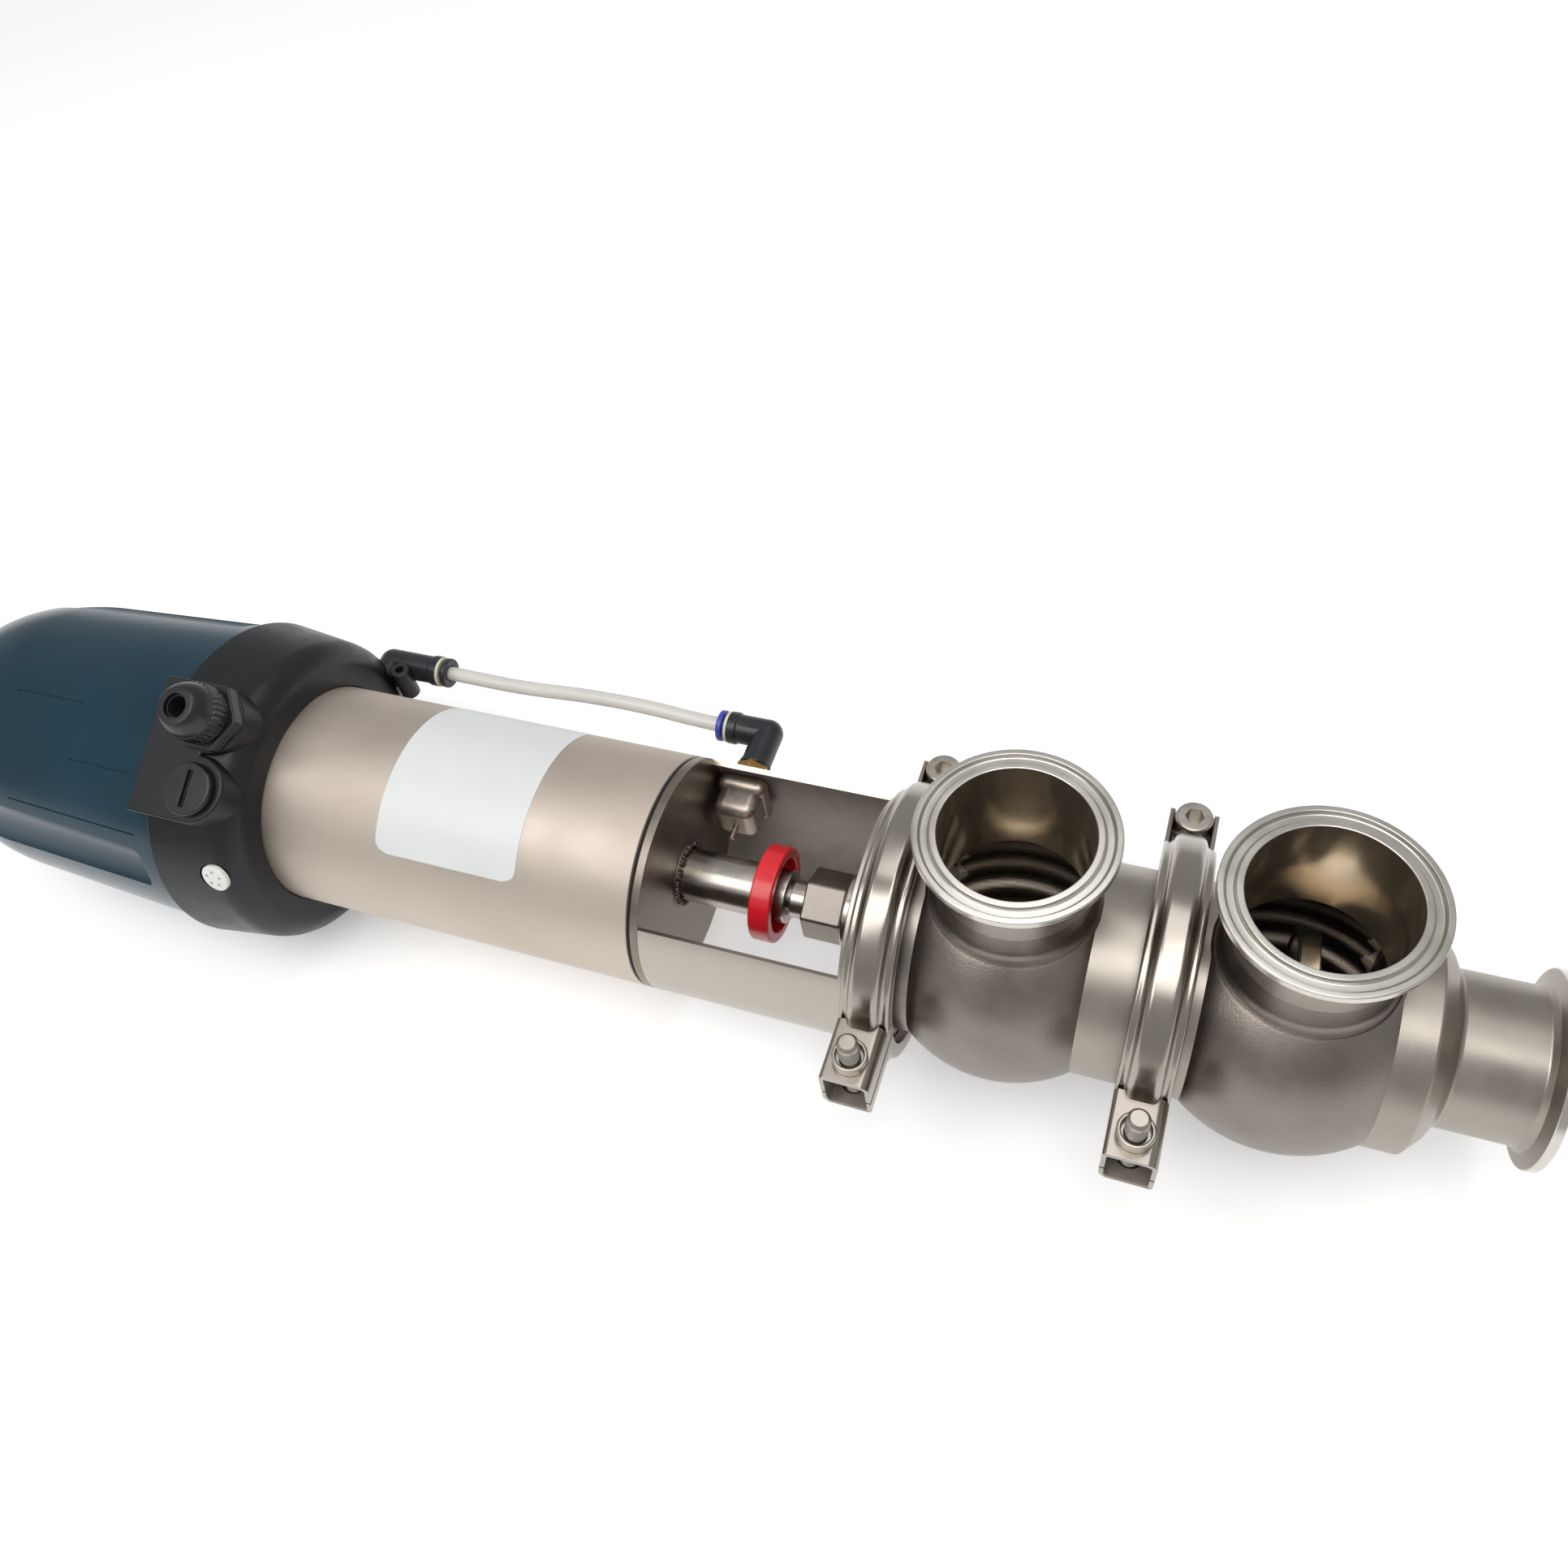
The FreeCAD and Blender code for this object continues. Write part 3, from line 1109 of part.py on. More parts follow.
def pad_ports():
    """What is screwed into the pad: the cable gland in three pieces and a slotted plug."""
    turn = Rotation(Vector(1, 0, 0), value("pad_angle")).multiply(UP)
    sine, cosine = "sin(pad_angle * 1 deg)", "cos(pad_angle * 1 deg)"

    def on_pad(side):
        return (
            f"{HEAD_FRONT} - port_setback",
            f"{side} * port_offset * {cosine} - head_radius * {sine}",
            f"head_radius * {cosine} + {side} * port_offset * {sine}",
        )

    gland = new_body("cable_gland", on_pad("1"), turn)
    extrude(gland, "hexagon", lambda sketch: hexagon(sketch, "gland_hex_width"),
            "gland_hex_height", plane="YZ_Plane")
    spin(gland, "threads", [
        ("-port_thread_length", "0"),
        ("-port_thread_length", "port_thread_radius"),
        ("0", "port_thread_radius"),
        ("gland_hex_height", "gland_upper_radius"),
        ("gland_hex_height + gland_upper_length", "gland_upper_radius"),
        ("gland_hex_height + gland_upper_length", "0"),
    ])
    cut(gland, "bore", lambda sketch: circle(sketch, "gland_bore"),
        "port_thread_length + gland_hex_height + gland_upper_length", "-port_thread_length",
        plane="YZ_Plane")
    dome_top = "(gland_hex_height + dome_height)"
    thread_top = "(gland_hex_height + gland_upper_length + soft_clearance)"
    turned_body("gland_dome_nut", [
        ("gland_hex_height", "gland_upper_radius"),
        (thread_top, "gland_upper_radius"),
        (f"{dome_top} - plug_disc_thickness / 2", "gland_bore"),
        (dome_top, "gland_bore"),
        (dome_top, "dome_nose_radius"),
        (f"{dome_top} - dome_height / 3", "dome_radius"),
        ("gland_hex_height", "dome_radius"),
    ], on_pad("1"), turn)
    turned_body("gland_seal", tube_points(
        "gland_hex_height", f"{dome_top} - plug_disc_thickness / 2", "cable_radius",
        "gland_bore - soft_clearance",
    ), on_pad("1"), turn)
    blank = new_body("blanking_plug", on_pad("-1"), turn)
    extrude(blank, "disc", lambda sketch: circle(sketch, "plug_disc_radius"),
            "plug_disc_thickness", plane="YZ_Plane")
    extrude(blank, "thread", lambda sketch: circle(sketch, "port_thread_radius"),
            "port_thread_length", "-port_thread_length", plane="YZ_Plane")
    cut(blank, "slot", lambda sketch: rectangle(
        sketch, "-port_thread_radius + 1", "port_thread_radius - 1",
        "-plug_slot_width / 2", "plug_slot_width / 2",
    ), "plug_slot_depth", "plug_disc_thickness - plug_slot_depth", plane="YZ_Plane")


def vent():
    """The round vent cap on the base's side, on a stem that fills its hole."""
    turn = Rotation(Vector(1, 0, 0), value("vent_angle")).multiply(UP)
    turned_body("vent_cap", [
        ("-head_wall", "0"),
        ("-head_wall", "vent_radius / 2"),
        ("0", "vent_radius / 2"),
        ("0", "vent_radius"),
        ("vent_height", "vent_radius"),
        ("vent_height", "0"),
    ], (f"{HEAD_FRONT} - vent_setback", f"-{VENT_SEAT} * sin(vent_angle * 1 deg)",
        f"{VENT_SEAT} * cos(vent_angle * 1 deg)"), turn)


def head_inside():
    """The screws that hold the head on the cover, and the board with its valve and sensor."""
    floor_back = f"({HEAD_FRONT} - head_overlap - head_floor)"
    screws = []
    for y, z in SCREW_PLACES:
        screws.append(turned_body("head_screw", [
            ("-screw_head_height", "0"),
            ("-screw_head_height", "screw_head_radius"),
            ("0", "screw_head_radius"),
            ("0", "screw_radius"),
            ("screw_length", "screw_radius"),
            ("screw_length", "0"),
        ], (floor_back, y, z), kept=False))
    group("head_screws", screws)
    board = (f"{floor_back} - board_seat", "0", "0")
    turned_body("circuit_board", tube_points(
        "-board_thickness", "0", "board_hole", "actuator_radius + head_sleeve_wall - soft_clearance",
    ), board)
    back = "(-board_thickness)"
    valve = new_body("solenoid_valve", board)
    extrude(valve, "block", lambda sketch: rectangle(
        sketch, "board_hole + 4", "board_hole + 4 + valve_block_width",
        "-valve_block_height / 2", "valve_block_height / 2",
    ), "valve_block_length", f"{back} - valve_block_length", plane="YZ_Plane")
    sensor = new_body("position_sensor", board)
    extrude(sensor, "rail", lambda sketch: rectangle(
        sketch, "-sensor_width / 2", "sensor_width / 2",
        "-board_hole - sensor_depth", "-board_hole",
    ), "sensor_length", f"{back} - sensor_length", plane="YZ_Plane")


def build():
    """All the pieces, in the order in which the valve goes together."""
    weld_ferrule("outlet_ferrule", ("0", "0", "0"))
    weld_ferrule("lower_ferrule", (LOWER_AXIS, "0", "port_height"), UP)
    weld_ferrule("upper_ferrule", (UPPER_AXIS, "0", "port_height"), UP)
    upper_body()
    lower_body()
    plug()
    bonnet()
    stem_guide()
    body_seals()
    yoke()
    clamps()
    clamp_fasteners()
    moving_stem()
    end_plate()
    actuator()
    air_block()
    air_fittings()
    air_tube()
    head_base()
    head_inside()
    head_cap()
    pad_ports()
    vent()


def write_nodes():
    """Check every object, then write each sub-part to its own file."""
    doc.recompute()
    for thing in doc.Objects:
        if "Invalid" in thing.State or "Error" in thing.State:
            raise ValueError(f"{thing.Label} failed: {thing.State}")
    for node in nodes:
        if node.Shape.isNull() or not node.Shape.isValid():
            raise ValueError(f"{node.Label} has no valid shape")
    os.makedirs("parts", exist_ok=True)
    for node in nodes:
        node.Shape.exportStep(f"parts/{node.Label}.step")
    print(f"{len(nodes)} sub-parts written")


build()
write_nodes()
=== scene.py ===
import math

import bmesh
import bpy
from mathutils import Matrix, Vector


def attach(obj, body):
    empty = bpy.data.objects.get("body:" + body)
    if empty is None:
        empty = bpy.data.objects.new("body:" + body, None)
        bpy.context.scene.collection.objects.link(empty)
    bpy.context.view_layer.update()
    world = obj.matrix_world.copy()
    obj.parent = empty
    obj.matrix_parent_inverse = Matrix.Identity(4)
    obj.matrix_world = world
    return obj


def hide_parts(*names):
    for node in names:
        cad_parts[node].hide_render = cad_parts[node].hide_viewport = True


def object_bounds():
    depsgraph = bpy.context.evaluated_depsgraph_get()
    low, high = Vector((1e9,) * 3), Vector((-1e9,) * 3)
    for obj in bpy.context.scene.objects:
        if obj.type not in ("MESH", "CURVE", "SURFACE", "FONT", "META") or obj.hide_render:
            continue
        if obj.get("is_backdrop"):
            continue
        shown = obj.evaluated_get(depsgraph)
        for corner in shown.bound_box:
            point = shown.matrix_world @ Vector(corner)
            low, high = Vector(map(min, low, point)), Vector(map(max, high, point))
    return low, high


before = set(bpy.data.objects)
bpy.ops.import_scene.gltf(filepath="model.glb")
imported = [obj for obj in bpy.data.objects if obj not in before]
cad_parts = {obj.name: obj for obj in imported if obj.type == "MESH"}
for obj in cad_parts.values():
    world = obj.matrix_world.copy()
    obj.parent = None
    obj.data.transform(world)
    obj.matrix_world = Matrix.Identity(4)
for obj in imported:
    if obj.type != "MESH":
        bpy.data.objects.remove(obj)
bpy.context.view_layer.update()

# Pipe ferrules: three turned 316 stainless ends for 51 mm tube, welded on. Each has a 64 mm rim
# with a tapered back for a clamp, and a rounded groove in its polished face for the gasket's bead.
MM = 0.001
FACE_UP = Matrix.Rotation(-math.pi / 2, 4, "Y")
OUTLET_X, LOWER_X, UPPER_X, PORT_TOP = 0, -77.5, -168.5, 72
# A rounding's step in radians, the most of an edge that it takes, and the angle that stays sharp
ROUND_STEP, EDGE_SHARE, SHARP = 0.26, 0.49, math.radians(32)


def outline(corners):
    """A closed outline in mm: each corner is (x, y) or (x, y, rounding)."""
    points = []
    for here, corner in enumerate(corners):
        point = Vector(corner[:2])
        back = Vector(corners[here - 1][:2]) - point
        ahead = Vector(corners[(here + 1) % len(corners)][:2]) - point
        half = back.angle(ahead, math.pi) / 2
        if len(corner) < 3 or half > 1.5:
            points.append(point)
            continue
        reach = min(corner[2] / math.tan(half), EDGE_SHARE * back.length, EDGE_SHARE * ahead.length)
        middle = (back.normalized() + ahead.normalized()).normalized() * reach / math.cos(half)
        start = back.normalized() * reach - middle
        turn = math.copysign(math.pi - 2 * half, start.x * -middle.y + start.y * middle.x)
        steps = max(2, round(abs(turn) / ROUND_STEP))
        for step in range(steps + 1):
            spoke = start.copy()
            spoke.rotate(Matrix.Rotation(turn * step / steps, 2))
            points.append(point + middle + spoke)
    return points


def mesh_piece(name, corners, faces, place=None):
    """A smooth-shaded closed mesh from points in mm, with its sharper edges kept sharp."""
    mesh = bpy.data.meshes.new(name)
    mesh.from_pydata([Vector(corner) * MM for corner in corners], [], faces)
    work = bmesh.new()
    work.from_mesh(mesh)
    bmesh.ops.remove_doubles(work, verts=work.verts, dist=1e-6)
    bmesh.ops.dissolve_degenerate(work, edges=work.edges, dist=1e-6)
    bmesh.ops.recalc_face_normals(work, faces=work.faces)
    work.to_mesh(mesh)
    work.free()
    if place:
        mesh.transform(place)
    mesh.shade_smooth()
    mesh.set_sharp_from_angle(angle=SHARP)
    piece = bpy.data.objects.new(name, mesh)
    bpy.context.scene.collection.objects.link(piece)
    return piece


def at(x, y, z, turn=Matrix.Identity(4)):
    """The place of a piece whose own origin lies at that point in mm."""
    return Matrix.Translation(Vector((x, y, z)) * MM) @ turn


def lathe(name, corners, place=None, steps=144, start=0, sweep=360):
    """A turned piece: corners are (x along the axis, radius, rounding) in mm, start from +Y."""
    points = outline(corners)
    count = len(points)
    whole = sweep == 360
    rings = steps if whole else steps + 1
    verts = []
    for ring in range(rings):
        angle = math.radians(start + sweep * ring / steps)
        verts += [(x, radius * math.cos(angle), radius * math.sin(angle)) for x, radius in points]
    faces = []
    for ring in range(steps):
        here, there = ring * count, (ring + 1) % rings * count
        faces += [(here + i, here + (i + 1) % count, there + (i + 1) % count, there + i)
                  for i in range(count)]
    if not whole:
        faces += [tuple(range(count)), tuple(range(steps * count, steps * count + count))]
    return mesh_piece(name, verts, faces, place)


def linear(code):
    """An sRGB hex colour as linear red, green, blue and alpha."""
    parts = [int(code[i:i + 2], 16) / 255 for i in (1, 3, 5)]
    return [c / 12.92 if c <= 0.04045 else ((c + 0.055) / 1.055) ** 2.4 for c in parts] + [1]


def add_node(material, kind, inputs, **settings):
    """Adds a node, or takes the material's own shader, sets it and links or sets its inputs."""
    tree = material.node_tree
    own = kind == "BsdfPrincipled"
    node = tree.nodes["Principled BSDF"] if own else tree.nodes.new("ShaderNode" + kind)
    for name, setting in settings.items():
        setattr(node, name, setting)
    for name, value in inputs.items():
        if isinstance(value, bpy.types.NodeSocket):
            tree.links.new(value, node.inputs[name])
        else:
            node.inputs[name].default_value = value
    return node


def surface(name, light, dark, roughness, patch, grain, depth, stretch=(1, 1, 1), **constants):
    """A finish that drifts between two colours over patches, with a fine grain; both in mm."""
    material = bpy.data.materials.new(name)
    material.use_nodes = True
    place = add_node(material, "TexCoord", {}).outputs["Object"]
    drift = add_node(material, "TexNoise", {"Vector": place, "Scale": 1 / (patch * MM), "Detail": 4})
    colour = add_node(material, "MixRGB", {
        "Fac": drift.outputs["Fac"], "Color1": linear(dark), "Color2": linear(light)})
    lined = add_node(material, "Mapping", {"Vector": place, "Scale": stretch})
    fine = add_node(material, "TexNoise", {
        "Vector": lined.outputs["Vector"], "Scale": 1 / (grain * MM), "Detail": 3})
    spread = add_node(material, "MapRange", {
        "Value": drift.outputs["Fac"], "From Min": 0.3, "From Max": 0.7,
        "To Min": roughness * 0.85, "To Max": roughness * 1.2})
    relief = add_node(material, "Bump", {
        "Height": fine.outputs["Fac"], "Distance": depth * MM, "Strength": 1})
    add_node(material, "BsdfPrincipled", {
        "Base Color": colour.outputs["Color"], "Roughness": spread.outputs["Result"],
        "Normal": relief.outputs["Normal"], **constants})
    return material


def fit(piece, material, body, slot, *nodes):
    """Gives the piece its finish, fixes it to its body and lets it stand for its solids."""
    piece.data.materials.append(material)
    if piece.type == "MESH":
        piece.modifiers.new("flat_faces_stay_flat", "WEIGHTED_NORMAL").keep_sharp = True
    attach(piece, body)
    if nodes:
        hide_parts(*nodes)
    return piece


# Fine-turned and polished 316 steel: bright rings with a very fine lathe grain
polished_ferrule_steel = surface("polished_ferrule_steel", "#D9D6CF", "#BDB9B1", 0.2, 14, 0.35, 0.004,
                                 Metallic=1)
FERRULE = [
    (-21.5, 24.3), (0, 24.3, 0.4), (0, 26.4, 0.3), (-1.4, 27.1, 0.5), (-1.4, 29.3, 0.5), (0, 30, 0.3),
    (0, 32, 0.5), (-2.85, 32, 0.6), (-4.7, 27, 1.2), (-6.5, 25.5, 1), (-21.5, 25.5),
]
# Satin 316 steel: the tube behind the rim was brushed and blasted, so it is greyer and softer
satin_tube_steel = surface("satin_tube_steel", "#ADA69D", "#938C83", 0.36, 16, 0.5, 0.016, Metallic=1)
# Polished bore: a dark mirror that shows the chamber in itself. Its warm, light tint is painted reflection, a
# golden cast of the lit inside, not the steel's own colour
polished_bore_steel_painted_warm = surface("polished_bore_steel_painted_warm", "#DCCDB4", "#BFAE95", 0.17, 12, 2, 0.003,
                              Metallic=0.9)
FACE_EDGE, RIM_BACK, BORE_SIDE = -0.4, -3.4, 24.8
SATIN, POLISHED = 1, 2
for name, place in (("outlet_ferrule", at(OUTLET_X, 0, 0)),
                    ("lower_ferrule", at(LOWER_X, 0, PORT_TOP, FACE_UP)),
                    ("upper_ferrule", at(UPPER_X, 0, PORT_TOP, FACE_UP))):
    ferrule = lathe(name + "_turned", FERRULE)
    fit(ferrule, polished_ferrule_steel, "housing", "ferrule_steel", name)
    ferrule.data.materials.append(satin_tube_steel)
    ferrule.data.materials.append(polished_bore_steel_painted_warm)
    for face in ferrule.data.polygons:
        round_tube = math.hypot(face.center.y, face.center.z)
        # Bore faces take the polished bore steel, whose warm tint is a painted reflection
        if face.center.x < FACE_EDGE * MM and round_tube < BORE_SIDE * MM:
            face.material_index = POLISHED
        elif face.center.x < RIM_BACK * MM:
            face.material_index = SATIN
    ferrule.data.transform(place)

# Ball bodies: two 316 stainless bodies formed to a ball, the port pulled out of the top, the hubs
# turned. Bead-blasted outside and polished inside; the lower one carries the outlet's thick collar.
BALL, WALL, HUB, FLANGE, TUBE, BORE = 46, 2, 36.7, 45.5, 25.5, 24.3


def arc(radius, first, last, steps=40):
    """Points on a ball about the piece's own origin, from one station to another."""
    ends = [math.acos(station / radius) for station in (first, last)]
    turns = [ends[0] + (ends[1] - ends[0]) * step / steps for step in range(steps + 1)]
    return [(radius * math.cos(turn), radius * math.sin(turn)) for turn in turns]


def carve(piece, tool, operation="DIFFERENCE"):
    """Cuts the tool out of the piece, or joins it, and leaves no modifier."""
    change = piece.modifiers.new("change", "BOOLEAN")
    change.object = tool
    change.operation = operation
    change.solver = "EXACT"
    bpy.context.view_layer.update()
    result = piece.evaluated_get(bpy.context.evaluated_depsgraph_get())
    mesh = bpy.data.meshes.new_from_object(result)
    piece.modifiers.clear()
    piece.data = mesh
    bpy.data.objects.remove(tool)
    mesh.shade_smooth()
    mesh.set_sharp_from_angle(angle=SHARP)
    return piece


# Bead-blasted 316 steel: a soft grey-brown sheen with a sandy grain, drawn at 0.9 mm so it shows
blasted_steel = surface("bead_blasted_steel", "#9B938B", "#746C65", 0.37, 18, 0.9, 0.07, Metallic=1)
# Hazed inside of the ball: rougher than the bore. Its near-white warm colour is painted light, brightening
# the shaded chamber beyond what comes in from the port
hazed_chamber_steel_painted_bright = surface("hazed_chamber_steel_painted_bright", "#F2E6D0", "#E2D3BA", 0.24, 12, 2, 0.004,
                              Metallic=0.4)
hub_wall = HUB - WALL
hub_reach = math.sqrt(BALL ** 2 - HUB ** 2)
bore_reach = math.sqrt((BALL - WALL) ** 2 - hub_wall ** 2)
STEP_HEIGHT, STEP_DEPTH, STEP_RINGS = 9, 1.1, 130
ball_shell = [(-39.5, hub_wall, 0.4), (-39.5, FLANGE, 0.6), (-36.65, FLANGE, 0.8), (-33.4, HUB, 1.5)]
ball_shell += arc(BALL, -hub_reach, hub_reach)
upper_shell = ball_shell + [
    (45.4, HUB, 1.5), (48.65, FLANGE, 0.8), (51.5, FLANGE, 0.6), (51.5, 34.6), (64, 34.6, 0.4),
    (64, 25, 0.5), (62, 25, 0.5), (59, 29.7, 1), (46.5, 29.7, 1), (46.5, hub_wall, 1),
] + arc(BALL - WALL, bore_reach, -bore_reach, STEP_RINGS)
lower_shell = ball_shell + [
    (38.9, HUB, 1.2), (43.9, 31, 2.5), (46.9, TUBE, 2), (56, TUBE), (56, BORE),
    (33, BORE, 0.5), (33, 29.1),
] + arc(BALL - WALL, 33, -bore_reach, STEP_RINGS)[1:]
ROOT, BEAD = 5, 0.5
root_height = math.sqrt((BALL + ROOT) ** 2 - (TUBE + ROOT) ** 2)
root_share = BALL / (BALL + ROOT)
port_wall = [(30, 23.8), (50.5, 23.8), (50.5, TUBE), (root_height + 1, TUBE)]
root_sweep = math.atan2(root_height, TUBE + ROOT)
for step in range(9):
    turn = math.pi + root_sweep * step / 8
    port_wall.append((root_height + ROOT * math.sin(turn), TUBE + ROOT + ROOT * math.cos(turn)))
foot = Vector((root_height, TUBE + ROOT)) * root_share
out, along = foot.normalized(), Vector((-foot.y, foot.x)).normalized()
port_wall += [tuple(foot + out * BEAD), tuple(foot + out * BEAD + along * 1.1),
              tuple(foot - out * 2 + along * 1.1)]
port_bore = [(20, 0), (60, 0), (60, BORE), (20, BORE)]
BALL_FINISHES = (hazed_chamber_steel_painted_bright, satin_tube_steel, polished_bore_steel_painted_warm)
HAZED_PAINTED_BRIGHT, SATIN, POLISHED = 1, 2, 3
for name, axis_x, shell in (("upper_body", UPPER_X, upper_shell), ("lower_body", LOWER_X, lower_shell)):
    piece = lathe(name + "_formed", shell, at(axis_x, 0, 0), 192)
    port = lathe("port", port_wall, at(axis_x, 0, 0, FACE_UP), 192)
    carve(piece, port, "UNION")
    carve(piece, lathe("bore", port_bore, at(axis_x, 0, 0, FACE_UP), 192))
    # The inside was bored through the port, which left rounded steps under the polish
    middle = Vector((axis_x, 0, 0)) * MM
    for vert in piece.data.vertices:
        spoke = vert.co - middle
        if abs(spoke.length - (BALL - WALL) * MM) < 0.05 * MM:
            step = math.cos(2 * math.pi * spoke.z / STEP_HEIGHT / MM)
            vert.co = middle + spoke * (1 + STEP_DEPTH / (BALL - WALL) * step)
    fit(piece, blasted_steel, "housing", "blasted_steel", name)
    for finish in BALL_FINISHES:
        piece.data.materials.append(finish)
    for face in piece.data.polygons:
        middle = (face.center - Vector((axis_x * MM, 0, 0))) / MM
        round_stem = math.hypot(middle.y, middle.z)
        round_port = math.hypot(middle.x, middle.y)
        in_port = round_port < BORE + 0.6 and middle.z > 30
        in_ball = middle.length < BALL - 0.8 and round_stem < HUB - 0.8
        in_hub = middle.x < -30 and round_stem < hub_wall + 0.3
        in_outlet = middle.x > 30 and round_stem < (BORE + 0.6 if axis_x == LOWER_X else 30.5)
        # The port's bore takes the polished bore steel, whose warm tint is a painted reflection
        if in_port:
            face.material_index = POLISHED
        # Inside of the ball, hub and outlet: the hazed steel whose near-white colour is painted light
        elif in_ball or in_hub or in_outlet:
            face.material_index = HAZED_PAINTED_BRIGHT
        elif abs(middle.x) > hub_reach + 1:
            face.material_index = SATIN

# Plug: a turned 316 piece screwed on the stem's end. It is waisted like a spool, and a rubber ring
# in each of its two faces seals on the upper or the lower seat.
PLUG_TOP, PLUG_FOOT, SEAL_IN, SEAL_OUT = -1, 32, 25.2, 27.6
# Turned 316 steel: bright, with the tool's fine rings round the axis
turned_steel = surface("turned_steel", "#C2BCB4", "#9A948C", 0.27, 10, 0.3, 0.006, (1, 0.02, 0.02),
                       Metallic=1)
plug = lathe("plug_turned", [
    (PLUG_TOP, 5.6), (PLUG_TOP, SEAL_IN), (0.7, SEAL_IN), (0.7, SEAL_OUT), (PLUG_TOP, SEAL_OUT),
    (PLUG_TOP, 28, 0.3), (5, 28, 0.6), (8, 12.5, 3), (23, 12.5, 3), (26, 28, 0.6), (PLUG_FOOT, 28, 0.3),
    (PLUG_FOOT, SEAL_OUT), (30.3, SEAL_OUT), (30.3, SEAL_IN), (PLUG_FOOT, SEAL_IN), (PLUG_FOOT, 0),
    (17, 0), (17, 5.6),
], at(LOWER_X, 0, 0))
fit(plug, turned_steel, "stem", "turned_steel", "plug")
# Black rubber: soft and dull, with a faint bloom
seal_rubber = surface("black_seal_rubber", "#26262A", "#1B1B1E", 0.6, 5, 0.6, 0.01)
for name, first, last in (("upper_plug_seal", -1.7, 0.7), ("lower_plug_seal", 30.3, 32.7)):
    ring = lathe(name + "_moulded", [
        (first, SEAL_IN, 0.6), (last, SEAL_IN, 0.6), (last, SEAL_OUT, 0.6), (first, SEAL_OUT, 0.6),
    ], at(LOWER_X, 0, 0))
    fit(ring, seal_rubber, "stem", "seal_rubber", name)

# Bonnet and gland: a turned 316 disc closes the upper body, its boss holds the stem's white bearing
# bush, and a hexagon gland with rounded corners is screwed in over it.
BONNET_X = -208
# Filled PTFE: chalky off-white and dull
white_bearing_plastic = surface("white_bearing_plastic", "#E4E2DA", "#D2CFC4", 0.45, 8, 0.5, 0.004)
bonnet = lathe("bonnet_turned", [
    (7, 9.2), (7, 34.6, 0.5), (0, 34.6), (0, 40), (-4, 40, 0.4), (-4, 34.9), (-10.5, 34.9, 0.6),
    (-10.5, 14, 1), (-19.5, 14, 1), (-19.5, 11), (-11.5, 11), (-11.5, 9.2),
], at(BONNET_X, 0, 0))
fit(bonnet, turned_steel, "housing", "blasted_steel", "bonnet")
bush = lathe("stem_bush_turned", [(-11.5, 7.25), (3, 7.25), (3, 9.2), (-11.5, 9.2)], at(BONNET_X, 0, 0))
fit(bush, white_bearing_plastic, "housing", "bush_plastic", "stem_bush")


def dress(finish, *nodes):
    """Gives the real finish to solids that are shown as they are."""
    for node in nodes:
        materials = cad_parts[node].data.materials
        materials.clear()
        materials.append(finish)


dress(seal_rubber, "stem_lip_seal", "bonnet_seal", "neck_seal")


def prism(name, corners, low, high, place=None, bevel=0.0):
    """A straight piece along X: corners are (y, z, rounding) in mm, with its end edges bevelled."""
    points = outline(corners)
    count = len(points)
    verts = [(x, y, z) for x in (low, high) for y, z in points]
    faces = [(i, (i + 1) % count, count + (i + 1) % count, count + i) for i in range(count)]
    faces += [tuple(range(count)), tuple(range(count, 2 * count))]
    piece = mesh_piece(name, verts, faces)
    if bevel:
        work = bmesh.new()
        work.from_mesh(piece.data)
        ends = [edge for edge in work.edges
                if any(len(face.verts) == count for face in edge.link_faces)]
        bmesh.ops.bevel(work, geom=ends, offset=bevel * MM, segments=3, profile=0.5, affect="EDGES")
        flat_ends = [face for face in work.faces if len(face.verts) > 4]
        bmesh.ops.triangulate(work, faces=flat_ends, ngon_method="EAR_CLIP")
        work.to_mesh(piece.data)
        work.free()
        piece.data.shade_smooth()
        piece.data.set_sharp_from_angle(angle=SHARP)
    if place:
        piece.data.transform(place)
    return piece


def hexagon(width, rounding):
    """The corners of a hexagon of that width across its flats, two of them up and down."""
    radius = width / math.sqrt(3)
    turns = [math.radians(60 * corner) for corner in range(6)]
    return [(radius * math.sin(turn), radius * math.cos(turn), rounding) for turn in turns]


def join(first, *others):
    """Makes one piece of several."""
    work = bmesh.new()
    for piece in (first, *others):
        work.from_mesh(piece.data)
    work.to_mesh(first.data)
    work.free()
    first.data.shade_smooth()
    first.data.set_sharp_from_angle(angle=SHARP)
    for piece in others:
        bpy.data.objects.remove(piece)
    return first


gland = prism("gland_nut_milled", hexagon(23, 1.6), -34.5, -19.5, None, 0.9)
carve(gland, lathe("stem_hole", [(-40, 0), (-10, 0), (-10, 7.25), (-40, 7.25)]))
gland.data.transform(at(BONNET_X, 0, 0))
fit(gland, blasted_steel, "housing", "turned_steel", "gland_nut")

# Yoke: a laser-cut 304 tube welded to a turned clamp ring. Two big windows leave a leg in front and
# one behind, through which the travel ring is seen; the cut edges stay bright.
YOKE_END, LEG_IN, LEG_OUT = -83, 42, 44
# Satin 304 tube with a rolled grain along it and a slightly warm tint
satin_steel = surface("satin_rolled_steel", "#B9B2A8", "#A29B91", 0.3, 30, 0.6, 0.008, (0.08, 1, 1),
                      Metallic=1)
